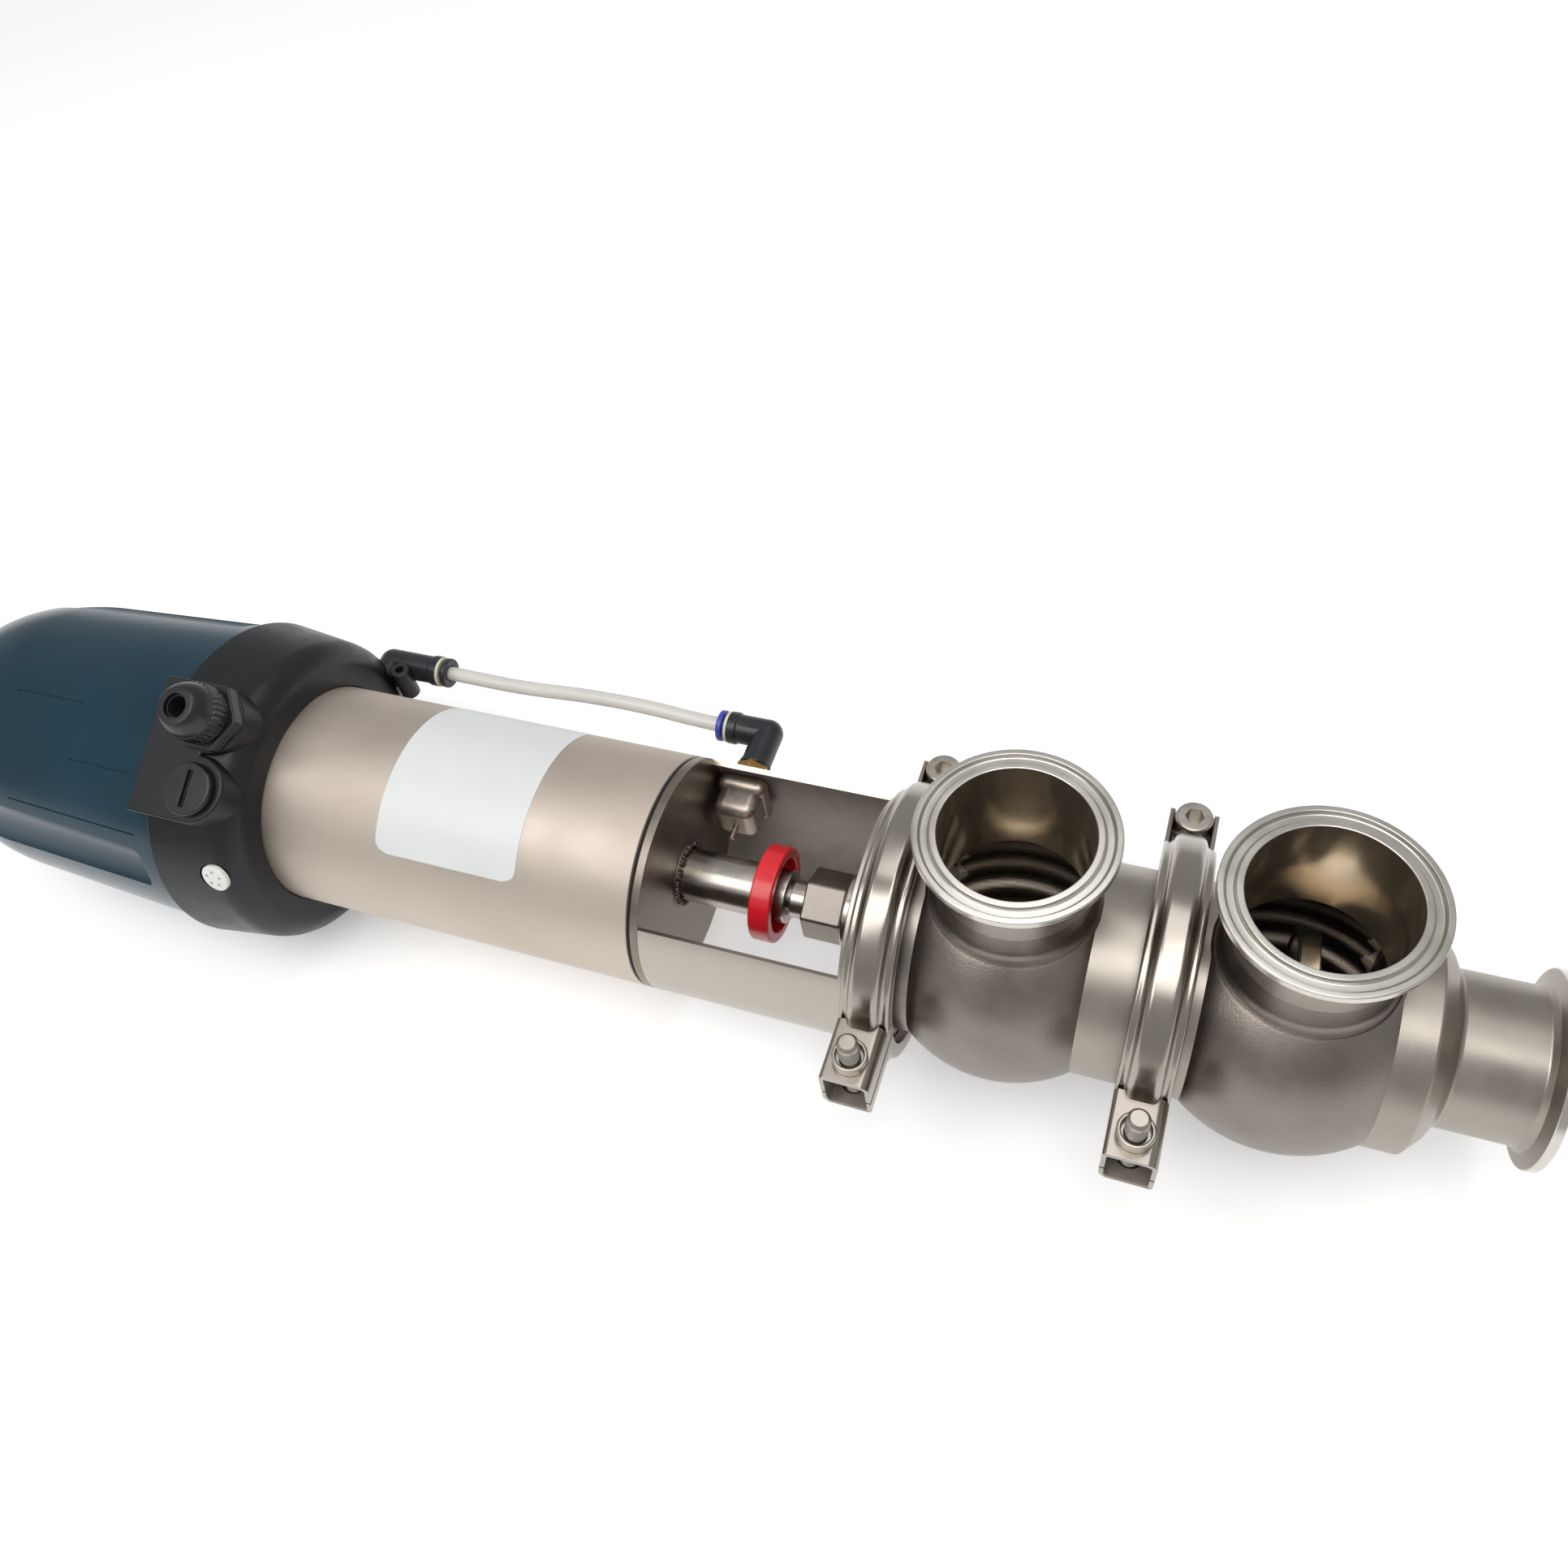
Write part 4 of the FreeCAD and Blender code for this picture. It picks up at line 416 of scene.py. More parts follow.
# Unpolished side of the rolled sheet: grey, dull and a little blotched
unpolished_steel = surface("unpolished_sheet_steel", "#A09890", "#7C746C", 0.5, 6, 0.6, 0.01,
                           Metallic=0.6)
ring = lathe("yoke_ring", [
    (0, 40), (0, 45.5, 0.6), (-2.85, 45.5, 0.8), (-5.87, 37.2, 0.8), (-8.7, 37.2, 0.5), (-8.7, 44, 0.4),
    (-10.5, 44, 0.4), (-10.5, 35, 0.4), (-4, 35), (-4, 40),
])
leg = [(-9.6, LEG_IN), (-9.6, LEG_OUT), (YOKE_END, LEG_OUT), (YOKE_END, LEG_IN)]
legs = [lathe("yoke_leg", leg, None, 48, start, sweep) for start, sweep in ((-60, 90), (150, 60))]
yoke = join(ring, *legs)
yoke.name = "yoke_tube_cut"
yoke.data.transform(at(BONNET_X, 0, 0))
fit(yoke, satin_steel, "housing", "yoke_steel", "yoke")
UNPOLISHED = 1
yoke.data.materials.append(unpolished_steel)
for face in yoke.data.polygons:
    middle = face.center / MM
    if math.hypot(middle.y, middle.z) < LEG_IN + 0.5 and middle.x < BONNET_X - 10:
        face.material_index = UNPOLISHED

# Pipe clamps: each is two rolled 304 bands with a raised ridge, hooked over two tapered flanges. In
# front both halves end in a pressed channel for the bolt, behind in an open seat for a screw.
NECK_X = -117
# Pressed 304 sheet: half bright, a little wavy along the band
pressed_steel = surface("pressed_clamp_steel", "#B3ACA3", "#8F8880", 0.23, 26, 1.2, 0.006, Metallic=1)
BAND = [
    (-8.5, 41.5, 0.6), (-4.5, 41.5, 0.6), (-3.1, 46, 0.4), (3.1, 46, 0.4), (4.5, 41.5, 0.6), (8.5, 41.5, 0.6),
    (8.5, 47.2, 1.2), (5.8, 47, 1.4), (4.6, 50.6, 3.6), (-4.6, 50.6, 3.6), (-5.8, 47, 1.4), (-8.5, 47.2, 1.2),
]
CHANNEL = [
    (-8.5, 0.6, 0.5), (-8.5, 12, 3.6), (8.5, 12, 1.4), (8.5, 0.6, 0.5), (6.9, 0.6, 0.4), (6.9, 10.2, 0.6),
    (-6.9, 10.2, 2.2), (-6.9, 0.6, 0.4),
]
# The lower half's channel is shallower than the upper one's by this
LOW_LUG_DROP = 4.5
SEAT = [
    (-8.5, 0.6, 0.5), (-8.5, 12, 1), (-6.7, 12, 0.8), (-6.7, 6, 0.8), (6.7, 6, 0.8), (6.7, 12, 0.8),
    (8.5, 12, 1), (8.5, 0.6, 0.5),
]
CHEEK_END = [(62, 12.6), (70, 12.6), (70, 0), (68, 1.5), (67, 4), (66, 7), (64.5, 10.5)]
LUG_FROM, LUG_TO, BOLT_Y = 46.4, 68.5, 60
SIDEWAYS = Matrix.Rotation(math.pi / 2, 4, "Z")
TURNED_OVER = Matrix.Rotation(math.pi, 4, "Y")
for joint, joint_x in (("bonnet", BONNET_X), ("neck", NECK_X)):
    for half, turn, drop in (("upper", Matrix.Identity(4), 0), ("lower", TURNED_OVER, LOW_LUG_DROP)):
        band = lathe("band", BAND, None, 160, 0.8, 178.4)
        channel = [(y, z - drop if z > 5 else z, rounding) for y, z, rounding in CHANNEL]
        front = prism("front_lug", channel, -LUG_TO, -LUG_FROM, SIDEWAYS, 0.25)
        rear = prism("rear_lug", SEAT, LUG_FROM, LUG_TO, SIDEWAYS, 0.3)
        carve(rear, prism("cheek_end", [(y, z, 2) for y, z in CHEEK_END], -12, 12))
        for lug, y in ((front, -BOLT_Y), (rear, BOLT_Y)):
            hole = [(-5, 0), (20, 0), (20, 4.4), (-5, 4.4)]
            carve(lug, lathe("bolt_hole", hole, at(0, y, 0, FACE_UP), 48))
        name = f"{joint}_clamp_{half}"
        clamp = join(band, front, rear)
        clamp.name = name + "_pressed"
        fit(clamp, pressed_steel, "housing", "clamp_steel", name)
        clamp.data.materials.append(unpolished_steel)
        for face in clamp.data.polygons:
            middle = face.center / MM
            if middle.y < -47.5 and abs(middle.x) < 7 and middle.z < 10.3:
                face.material_index = UNPOLISHED
        clamp.data.transform(at(joint_x, 0, 0, turn))

# Clamp fasteners: an M8 stainless hexagon bolt from below with a round collar nut in front, and an
# M8 socket-head screw into a hexagon nut behind.
HEAD_LOW, THREAD_DEPTH = -17, 0.75
# Cold-headed A2 steel: plain and fairly bright, with small uneven patches
plain_fastener_steel = surface("plain_stainless_fastener", "#C2BCB2", "#9B958C", 0.3, 4, 0.4, 0.01,
                               Metallic=1)


def thread(start, end, radius=4, pitch=1.25):
    """The outline of a shank with thread rings between two stations, its tip chamfered."""
    turns = int((end - start - 1) / pitch)
    points = [(start, 0), (start, radius)]
    for turn in range(turns):
        points += [(start + turn * pitch, radius - THREAD_DEPTH), (start + (turn + 0.5) * pitch, radius)]
    return points + [(end - 1, radius), (end, radius - 1), (end, 0)]


groups = {"front_clamp_bolts": [], "front_collar_nuts": [], "rear_clamp_screws": [], "rear_clamp_nuts": []}
for joint_x in (BONNET_X, NECK_X):
    front, rear = at(joint_x, -BOLT_Y, 0, FACE_UP), at(joint_x, BOLT_Y, 0, FACE_UP)
    groups["front_clamp_bolts"] += [
        lathe("bolt", thread(-8, 25.2, 3.6), front, 48),
        prism("head", hexagon(13, 0.4), HEAD_LOW + LOW_LUG_DROP, HEAD_LOW + LOW_LUG_DROP + 5, front, 0.5)]
    groups["front_collar_nuts"].append(lathe("nut", [
        (12, 3.7), (12, 6, 0.3), (16.2, 6, 0.7), (16.2, 4.7, 0.4), (13.4, 4.5), (13.4, 3.7)], front, 64))
    screw = join(
        lathe("shank", thread(-12.5, 8)[:-3] + [(8, 4), (8, 0)], rear, 40),
        carve(lathe("head", [(6, 0), (6, 6.5, 0.4), (14, 6.5, 1), (14, 0)], rear, 64),
              prism("socket", hexagon(6, 0.1), 9.5, 16, rear)))
    groups["rear_clamp_screws"].append(screw)
    # Known fault: the bevel of 0.6 is wider than the corners' rounding of 0.4, so the cut leaves only stray
    # faces of the nut. A bevel of 0.3 leaves it whole.
    groups["rear_clamp_nuts"].append(carve(
        prism("nut", hexagon(13, 0.4), -12.5, -6, rear, 0.6),
        lathe("hole", [(-20, 0), (0, 0), (0, 4.05), (-20, 4.05)], rear, 48)))
for name, members in groups.items():
    piece = join(*members)
    piece.name = name + "_made"
    fit(piece, plain_fastener_steel, "housing", "fastener_steel", name)

# Rod and stem: the piston's 20 mm rod comes out of the actuator and carries the stem on its end. A
# red plastic ring pressed on the rod shows the travel; it is open towards the bonnet.
rod = lathe("piston_rod_turned", [
    (-306, 0), (-488.5, 0), (-488.5, 7), (-306, 7), (-306, 10, 0.5), (-262.5, 10, 0.4), (-261.5, 9.2, 0.4),
    (-259.5, 9.2, 0.4), (-258.5, 10, 0.4), (-249.5, 10, 1), (-249.5, 5.5), (-267.5, 5.5), (-267.5, 0),
])
fit(rod, turned_steel, "stem", "turned_steel", "piston_rod")
stem = lathe("plug_stem_turned", [
    (-267.5, 0), (-60.5, 0), (-60.5, 5.5), (-78.5, 5.5), (-78.5, 7.2, 0.3), (-236, 7.2, 0.3),
    (-237, 6.2, 0.4), (-239.5, 6.2, 0.4), (-240.5, 7.2, 0.3), (-248.5, 7.2, 0.3), (-248.5, 5.5),
    (-267.5, 5.5),
])
fit(stem, turned_steel, "stem", "turned_steel", "plug_stem")
# Moulded red plastic, glossy, a little uneven from the mould
red_plastic = surface("moulded_red_plastic", "#DB1F2B", "#CC1822", 0.26, 14, 2, 0.002,
                      **{"Specular IOR Level": 0.5, "Coat Weight": 0.2})
travel_ring = lathe("travel_ring_moulded", [
    (-8, 10), (-5.5, 10), (-5.5, 14, 0.4), (0, 14, 0.6), (0, 18, 0.8), (-8, 18, 0.8),
], at(-252.5, 0, 0))
fit(travel_ring, red_plastic, "stem", "red_plastic", "travel_ring")

# End plate: a turned 304 plate with a bevelled edge. The rod's collar is welded into it, which left
# a rough bead and a dull, tinted patch.
PLATE_X = -291
# Heat-tinted 304 steel: straw-brown haze round the weld over a dull turned face
tinted_plate_steel = surface("heat_tinted_plate_steel", "#9C948A", "#6A6056", 0.36, 9, 0.7, 0.012,
                             Metallic=1)
plate = lathe("end_plate_turned", [
    (0.4, 10.3), (0.4, 13.2, 0.3), (0, 13.2), (0, 44, 0.4), (-3, 44, 0.3), (-4, 43, 0.3), (-4, 41.9),
    (-14, 41.9), (-14, 12), (-2, 12), (-2, 10.3),
], at(PLATE_X, 0, 0))
beads = []
BEADS, BEAD_TURN, WELD_RADIUS = 44, 8.18, 11.4
for number in range(BEADS):
    # Uneven steps and sizes, as a hand-fed rod leaves them
    angle = math.radians(BEAD_TURN * number + 2 * math.sin(number * 2.3))
    size = 1 + 0.22 * math.sin(number * 1.7)
    spot = at(PLATE_X + 0.4, WELD_RADIUS * math.cos(angle), WELD_RADIUS * math.sin(angle))
    beads.append(lathe("bead", arc(size, -size, size, 8), spot, 12))
weld = join(*beads)
weld.name = "rod_collar_weld"
# Weld bead: oxidised steel, near black between the ripples
oxidised_weld = surface("oxidised_weld_bead", "#7B736A", "#4A443F", 0.42, 2, 0.5, 0.03, Metallic=1)
fit(weld, oxidised_weld, "housing", "plate_steel")
fit(plate, tinted_plate_steel, "housing", "plate_steel", "end_plate")
bush = lathe("rod_bush_turned", [(-14, 10.05), (-2, 10.05), (-2, 12), (-14, 12)], at(PLATE_X, 0, 0))
fit(bush, white_bearing_plastic, "housing", "bush_plastic", "rod_bush")
seal = lathe("end_plate_seal_moulded", [(-1, 41.9), (0, 41.9), (0, 43.3, 0.4), (-1, 43.3, 0.4)],
             at(PLATE_X - 4, 0, 0))
fit(seal, seal_rubber, "housing", "seal_rubber", "end_plate_seal")

# Actuator: a drawn 304 tube, satin finished round and round, with the piston, its rubber seal and
# the coil spring inside it and a turned cover behind.
CYLINDER_X, CYLINDER_RADIUS = -296, 44
# Warm satin steel: the fine polishing lines run round the tube and spread its highlights along it
brushed_cylinder_steel = surface("brushed_cylinder_steel", "#CFC4B9", "#C2B7AB", 0.55, 40, 0.45, 0.004,
                                 (1, 0.04, 0.04), Metallic=1)
tube = lathe("actuator_tube_drawn", [
    (0.4, 42), (0.4, CYLINDER_RADIUS, 0.5), (-170, CYLINDER_RADIUS, 0.5), (-170, 42),
], at(CYLINDER_X, 0, 0), 192)
fit(tube, brushed_cylinder_steel, "housing", "cylinder_steel", "actuator_cylinder")
# Turned aluminium: pale and cool, for the piston
turned_aluminium = surface("turned_aluminium", "#C9CACB", "#B4B5B7", 0.3, 12, 0.5, 0.006, (1, 0.03, 0.03),
                           Metallic=1)
# Oiled spring wire: dark grey with a greasy shine
spring_wire = surface("oiled_spring_steel", "#6E6E70", "#4C4C4F", 0.35, 5, 0.6, 0.006, Metallic=1)
for node, finish in (("top_cover", tinted_plate_steel), ("piston", turned_aluminium),
                     ("piston_seal", seal_rubber), ("actuator_spring", spring_wire),
                     ("sensing_target", turned_steel), ("head_screws", plain_fastener_steel)):
    dress(finish, node)

# Nameplate: a thin polyester film with rounded corners, glued round the cylinder's top. The real
# one is printed; here it is left bare.
PLATE_LENGTH, PLATE_ROUND, FILM = 58, 5, 0.16
PLATE_MIDDLE, PLATE_FROM, PLATE_TO, PLATE_STEPS = -368.5, 35, 142, 64
# White film with a satin coat: it softens what it mirrors
satin_film = surface("satin_printed_film", "#DDE0DF", "#D2D5D4", 0.36, 24, 0.8, 0.003)
arc_length = CYLINDER_RADIUS * math.radians(PLATE_TO - PLATE_FROM)
rows = []
for step in range(PLATE_STEPS + 1):
    along = arc_length * step / PLATE_STEPS
    edge = min(along, arc_length - along)
    trim = PLATE_ROUND - math.sqrt(max(PLATE_ROUND ** 2 - max(PLATE_ROUND - edge, 0) ** 2, 0))
    angle = math.radians(PLATE_FROM) + along / CYLINDER_RADIUS
    for radius in (CYLINDER_RADIUS, CYLINDER_RADIUS + FILM):
        for side in (-1, 1):
            x = PLATE_MIDDLE + side * (PLATE_LENGTH / 2 - trim)
            rows.append((x, radius * math.cos(angle), radius * math.sin(angle)))
end = 4 * PLATE_STEPS
faces = [(0, 1, 3, 2), (end, end + 1, end + 3, end + 2)]
for step in range(PLATE_STEPS):
    k = 4 * step
    faces += [(k, k + 1, k + 5, k + 4), (k + 2, k + 3, k + 7, k + 6), (k, k + 2, k + 6, k + 4),
              (k + 1, k + 3, k + 7, k + 5)]
fit(mesh_piece("nameplate_film", rows, faces), satin_film, "housing", "vent_white")

# Air block: an investment-cast 304 lug welded inside the rear leg, where the air line enters the
# cylinder. It is rounded all over, straw and blue from the weld. A thin pin in its front ends just
# short of the travel ring's path.
BLOCK_X, BLOCK_BACK, BLOCK_FRONT, BLOCK_LOW, BLOCK_HIGH = -280.5, 40.5, 23.5, -6, 12


def block(name, low, high, rounding):
    """A box between two corners in mm, rounded on all its edges."""
    spans = list(zip(low, high))
    verts = [(x, y, z) for x in spans[0] for y in spans[1] for z in spans[2]]
    faces = [(0, 1, 3, 2), (4, 6, 7, 5), (0, 4, 5, 1), (2, 3, 7, 6), (0, 2, 6, 4), (1, 5, 7, 3)]
    piece = mesh_piece(name, verts, faces)
    work = bmesh.new()
    work.from_mesh(piece.data)
    bmesh.ops.bevel(work, geom=work.edges, offset=rounding * MM, segments=6, profile=0.5, affect="EDGES")
    work.to_mesh(piece.data)
    work.free()
    piece.data.shade_smooth()
    piece.data.set_sharp_from_angle(angle=math.radians(40))
    return piece


# Cast steel with heat colours: straw to purple-grey patches some 5 mm wide
heat_tinted_casting = surface("heat_tinted_casting", "#CFC2AB", "#7C727A", 0.34, 5, 0.6, 0.03,
                              Metallic=0.9)
SKIRT, PIN, FRONTWARD = 1.8, 6.8, Matrix.Rotation(-math.pi / 2, 4, "Z")
cast_lug = join(
    block("lug", (BLOCK_X - 8.5, BLOCK_FRONT, BLOCK_LOW), (BLOCK_X + 8.5, BLOCK_BACK, BLOCK_HIGH), 4.4),
    block("skirt", (BLOCK_X - 9.8, 33, BLOCK_LOW - SKIRT),
          (BLOCK_X + 9.8, BLOCK_BACK, BLOCK_HIGH + SKIRT), 3.7),
    lathe("pin", [(0, 0), (0, 1.2), (PIN, 1.2, 0.3), (PIN, 0)],
          at(BLOCK_X, BLOCK_FRONT + 2, 0, FRONTWARD), 24))
cast_lug.name = "air_block_cast"
fit(cast_lug, heat_tinted_casting, "housing", "block_steel", "air_block")

# Brass nipple: turned from hexagon bar and screwed through the leg into the air block. Only its
# low hexagon shows between the leg and the elbow.
AIR_Z = 7
# Machined brass: warm yellow, browner in patches where it was handled
REARWARD = Matrix.Rotation(math.pi / 2, 4, "Z")
machined_brass = surface("machined_brass", "#C29C5A", "#96713A", 0.28, 4, 0.3, 0.006, Metallic=1)
nipple = join(
    prism("hex", hexagon(12, 0.5), 44, 47.6, at(BLOCK_X, 0, AIR_Z, REARWARD), 0.5),
    lathe("thread", [(40.6, 0), (40.6, 4.8), (44.1, 4.8), (44.1, 0)],
          at(BLOCK_X, 0, AIR_Z, REARWARD), 40))
nipple.name = "brass_nipple_turned"
fit(nipple, machined_brass, "housing", "nipple_brass", "brass_nipple")

# Push-in elbows: moulded black PBT with a round corner and a bead at the socket's mouth. Each has a
# pale trim ring and a release collet that slides in; the head's has an ear with a screw hole.
AIR_Y, YOKE_LEG, HEAD_X, HEAD_LEG, ELBOW = 65, 16, -453.5, 24, 5.9
LEFTWARD = Matrix.Rotation(math.pi, 4, "Z")
# Glass-filled PBT: near black and matt, with a fine moulded grain
moulded_black_pbt = surface("moulded_black_pbt", "#25272C", "#1A1C20", 0.34, 6, 0.5, 0.008)
# Ring and collet plastics: plain, slightly shiny colours that mark the two ends of the tube
cream_ring_plastic = surface("cream_ring_plastic", "#DCD6C2", "#C9C2AC", 0.35, 3, 0.5, 0.005)
blue_collet_plastic = surface("blue_collet_plastic", "#4650B4", "#39429A", 0.3, 3, 0.5, 0.005)
black_collet_plastic = surface("black_collet_plastic", "#2A2B30", "#1F2024", 0.35, 3, 0.5, 0.005)


def elbow(name, corner_x, leg_turn, leg, stem):
    """A leg with its socket, a ball corner and a stem towards the object, as one moulding."""
    socket = [(0, 0), (0, ELBOW), (leg - 4, ELBOW, 0.6), (leg - 3.4, 6.5, 0.4), (leg, 6.5, 0.5),
              (leg, 4.5), (leg - 6, 4.5), (leg - 6, 3.3), (leg - 12, 3.3), (leg - 12, 0)]
    foot = [(0, 0), (0, ELBOW), (stem - 2, ELBOW, 0.4), (stem - 1.6, 6.4, 0.3), (stem, 6.4, 0.4),
            (stem, 0)]
    # The corner's ball is a hair larger than the legs, so that the union has no shared faces
    ball = ELBOW + 0.03
    moulding = lathe("leg", socket, at(corner_x, AIR_Y, AIR_Z, leg_turn), 64)
    carve(moulding, lathe("stem", foot, at(corner_x, AIR_Y, AIR_Z, FRONTWARD), 60), "UNION")
    corner = lathe("corner", arc(ball, -ball, ball, 24), at(corner_x, AIR_Y, AIR_Z), 56)
    carve(moulding, corner, "UNION")
    moulding.name = name
    return moulding


yoke_elbow = elbow("yoke_elbow_moulded", BLOCK_X, LEFTWARD, YOKE_LEG, 17.4)
fit(yoke_elbow, moulded_black_pbt, "housing", "fitting_black", "yoke_elbow")
head_elbow = elbow("head_elbow_moulded", HEAD_X, Matrix.Identity(4), HEAD_LEG, 10)
EAR_X, EAR_Y = HEAD_X + 9, AIR_Y - 7.5
ear = lathe("ear", [(-9, 0), (-9, 4, 0.6), (6, 4, 0.6), (6, 0)], at(EAR_X, EAR_Y, AIR_Z, FACE_UP), 48)
carve(head_elbow, ear, "UNION")
carve(head_elbow, lathe("ear_hole", [(-12, 0), (-12, 1.9), (12, 1.9), (12, 0)],
                        at(EAR_X, EAR_Y, AIR_Z, FACE_UP), 40))
fit(head_elbow, moulded_black_pbt, "housing", "fitting_black", "head_elbow")
for side, mouth_x, turn, finish in (
    ("yoke", BLOCK_X - YOKE_LEG, LEFTWARD, blue_collet_plastic),
    ("head", HEAD_X + HEAD_LEG, Matrix.Identity(4), black_collet_plastic),
):
    place = at(mouth_x, AIR_Y, AIR_Z, turn)
    trim = lathe(side + "_trim_ring_moulded", [(0, 4.5), (1.2, 4.5), (1.2, 6.3, 0.3), (0, 6.3)],
                 place, 64)
    fit(trim, cream_ring_plastic, "housing", "trim_cream", side + "_trim_ring")
    collet = lathe(side + "_collet_moulded", [
        (-3.7, 3.3), (4.5, 3.3, 0.5), (4.5, 6.3, 0.7), (2.3, 6.3, 0.5), (2.3, 4.2), (-3.7, 4.2)], place, 64)
    slot_name = "collet_blue" if side == "yoke" else "collet_black"
    fit(collet, finish, side + "_release", slot_name, side + "_collet")

# Air tube: extruded 6 mm polyurethane tube, cut to length and pushed into both elbows. It keeps a
# lazy S from its coil.
AIR_ROUTE = [
    (-286.5, 65, 7), (-306, 65, 7), (-333, 65.7, 9), (-361, 66, 8.3), (-391, 65.4, 5.8), (-419, 65, 7),
    (-439.5, 65, 7),
]
AIR_TUBE_OUTSIDE = 6
# Natural polyurethane: milky, lets a little light through and shines along its top
milky_polyurethane = surface("milky_polyurethane", "#EEECE7", "#DEDBD4", 0.22, 20, 1, 0.003,
                             **{"Transmission Weight": 0.35, "IOR": 1.5})
curve = bpy.data.curves.new("air_tube_line", "CURVE")
curve.dimensions = "3D"
line = curve.splines.new("NURBS")
line.points.add(len(AIR_ROUTE) - 1)
for point, spot in zip(line.points, AIR_ROUTE):
    point.co = (*(Vector(spot) * MM), 1)
line.order_u = 3
line.use_endpoint_u = True
line.resolution_u = 12
curve.bevel_depth = AIR_TUBE_OUTSIDE / 2 * MM
curve.bevel_resolution = 8
curve.use_fill_caps = True
air_tube = bpy.data.objects.new("air_tube_extruded", curve)
bpy.context.scene.collection.objects.link(air_tube)
fit(air_tube, milky_polyurethane, "housing", "tube_clear", "air_tube")

# Head base: injection-moulded black nylon with a round shoulder, slipped over the cylinder's end.
# A raised flat pad on its front carries the cable gland and a blank port.
HEAD_FRONT, SEAM_X, PAD_ANGLE, PAD_TOP = -448, -482.5, 26, 65
PAD_TURN = Matrix.Rotation(math.radians(PAD_ANGLE), 4, "X")
# Black nylon: dark grey in the light, with a spark-eroded grain of about 0.7 mm
moulded_black_nylon = surface("moulded_black_nylon", "#15171B", "#0F1013", 0.38, 12, 0.7, 0.02,
                              **{"Specular IOR Level": 0.4})
base = lathe("head_base_moulded", [
    (0, 44.1, 0.8), (0, 55, 8), (-5.5, 61.5, 9), (-34.5, 65, 0.8), (-34.5, 61), (-26.5, 61), (-26.5, 57.5),
    (-8, 57.5), (-8, 49), (-26, 49), (-26, 44), (-22, 44), (-22, 14.1), (-18, 14.1), (-18, 44.1),
], None, 192)
PAD_HALF, PORT_X, PORT_OFFSET = 26, -13.5, 13.5
pad = block("pad", (-34.5, -PAD_HALF, 50), (-14, PAD_HALF, PAD_TOP), 1.2)
lip = block("pad_lip", (-39, -PAD_HALF, 62.9), (-20, PAD_HALF, PAD_TOP), 0.9)
lobe = [(50, 0), (PAD_TOP, 0), (PAD_TOP, 12.9, 1.1), (50, 12.9)]
lobes = [lathe("lobe", lobe, at(PORT_X, side, 0, FACE_UP), 72) for side in (-13.1, 13.1)]
for raised in (pad, lip, *lobes):
    raised.data.transform(PAD_TURN)
    carve(base, raised, "UNION")
carve(base, lathe("seam_bore", [
    (-40, 0), (-26.5, 0), (-26.5, 61), (-34.5, 61), (-34.5, 62.9), (-40, 62.9)], None, 192))
for side in (PORT_OFFSET, -PORT_OFFSET):
    carve(base, lathe("port", [(40, 0), (40, 8), (80, 8), (80, 0)],
                      PAD_TURN @ at(PORT_X, side, 0, FACE_UP), 64))
carve(base, lathe("elbow_seat", [(52, 0), (52, 4.8), (58, 4.8), (58, 6.6), (80, 6.6), (80, 0)],
                  at(-5.5, 0, AIR_Z, REARWARD), 64))
VENT_TURN, VENT_X, VENT_SEAT = Matrix.Rotation(math.radians(70), 4, "X"), -9, 60.83
carve(base, lathe("vent_seat", [(40, 0), (40, 3), (VENT_SEAT, 3), (VENT_SEAT, 6.3), (80, 6.3), (80, 0)],
                  VENT_TURN @ at(VENT_X, 0, 0, FACE_UP), 64))
base.data.transform(at(HEAD_FRONT, 0, 0))
fit(base, moulded_black_nylon, "housing", "housing_black", "head_base")

# Head cap: a deep-tinted polycarbonate dome, moulded in one and screwed on at the seam. Three long
# shallow grooves are moulded into it for the hand, and fine mould lines run down its top.
GROOVE_AXIS, CAP_TAPER, CAP_RIM = 81.6, 0.0542, 62.77
# Deep-tinted polycarbonate: near black-teal, with a gloss that draws soft streaks along the dome
deep_tinted_polycarbonate = surface("deep_tinted_polycarbonate", "#133A4C", "#0A2733", 0.22, 45, 1.2,
                                    0.008, **{"Specular IOR Level": 0.3})


def bowed(first, last, radius, steps):
    """Points on an arc between two outline points, bulging to the right of the way between them."""
    first, last = Vector(first), Vector(last)
    chord = last - first
    reach = math.sqrt(radius ** 2 - chord.length ** 2 / 4)
    middle = (first + last) / 2 + Vector((-chord.y, chord.x)).normalized() * reach
    start = first - middle
    sweep = start.angle_signed(last - middle)
    points = []
    for step in range(1, steps + 1):
        spoke = start.copy()
        spoke.rotate(Matrix.Rotation(-sweep * step / steps, 2))
        points.append(tuple(middle + spoke))
    return points


dome = bowed((-88, 58), (-110, 54), 89, 8)
dome += bowed((-110, 54), (-143, 30.5), 65.6, 14)
dome += bowed((-143, 30.5), (-153, 0), 51.52, 12)
cap = lathe("head_cap_moulded", [
    (5, 58.5), (5, 60.9, 0.4), (0, 60.9), (0, 62.5, 0.5), (-5, 62.5, 0.4), (-88, 58), *dome,
    (-149, 0), (-139.8, 28.1), (-108.8, 50.2), (-88, 54), (-5, 58.5)], None, 256)
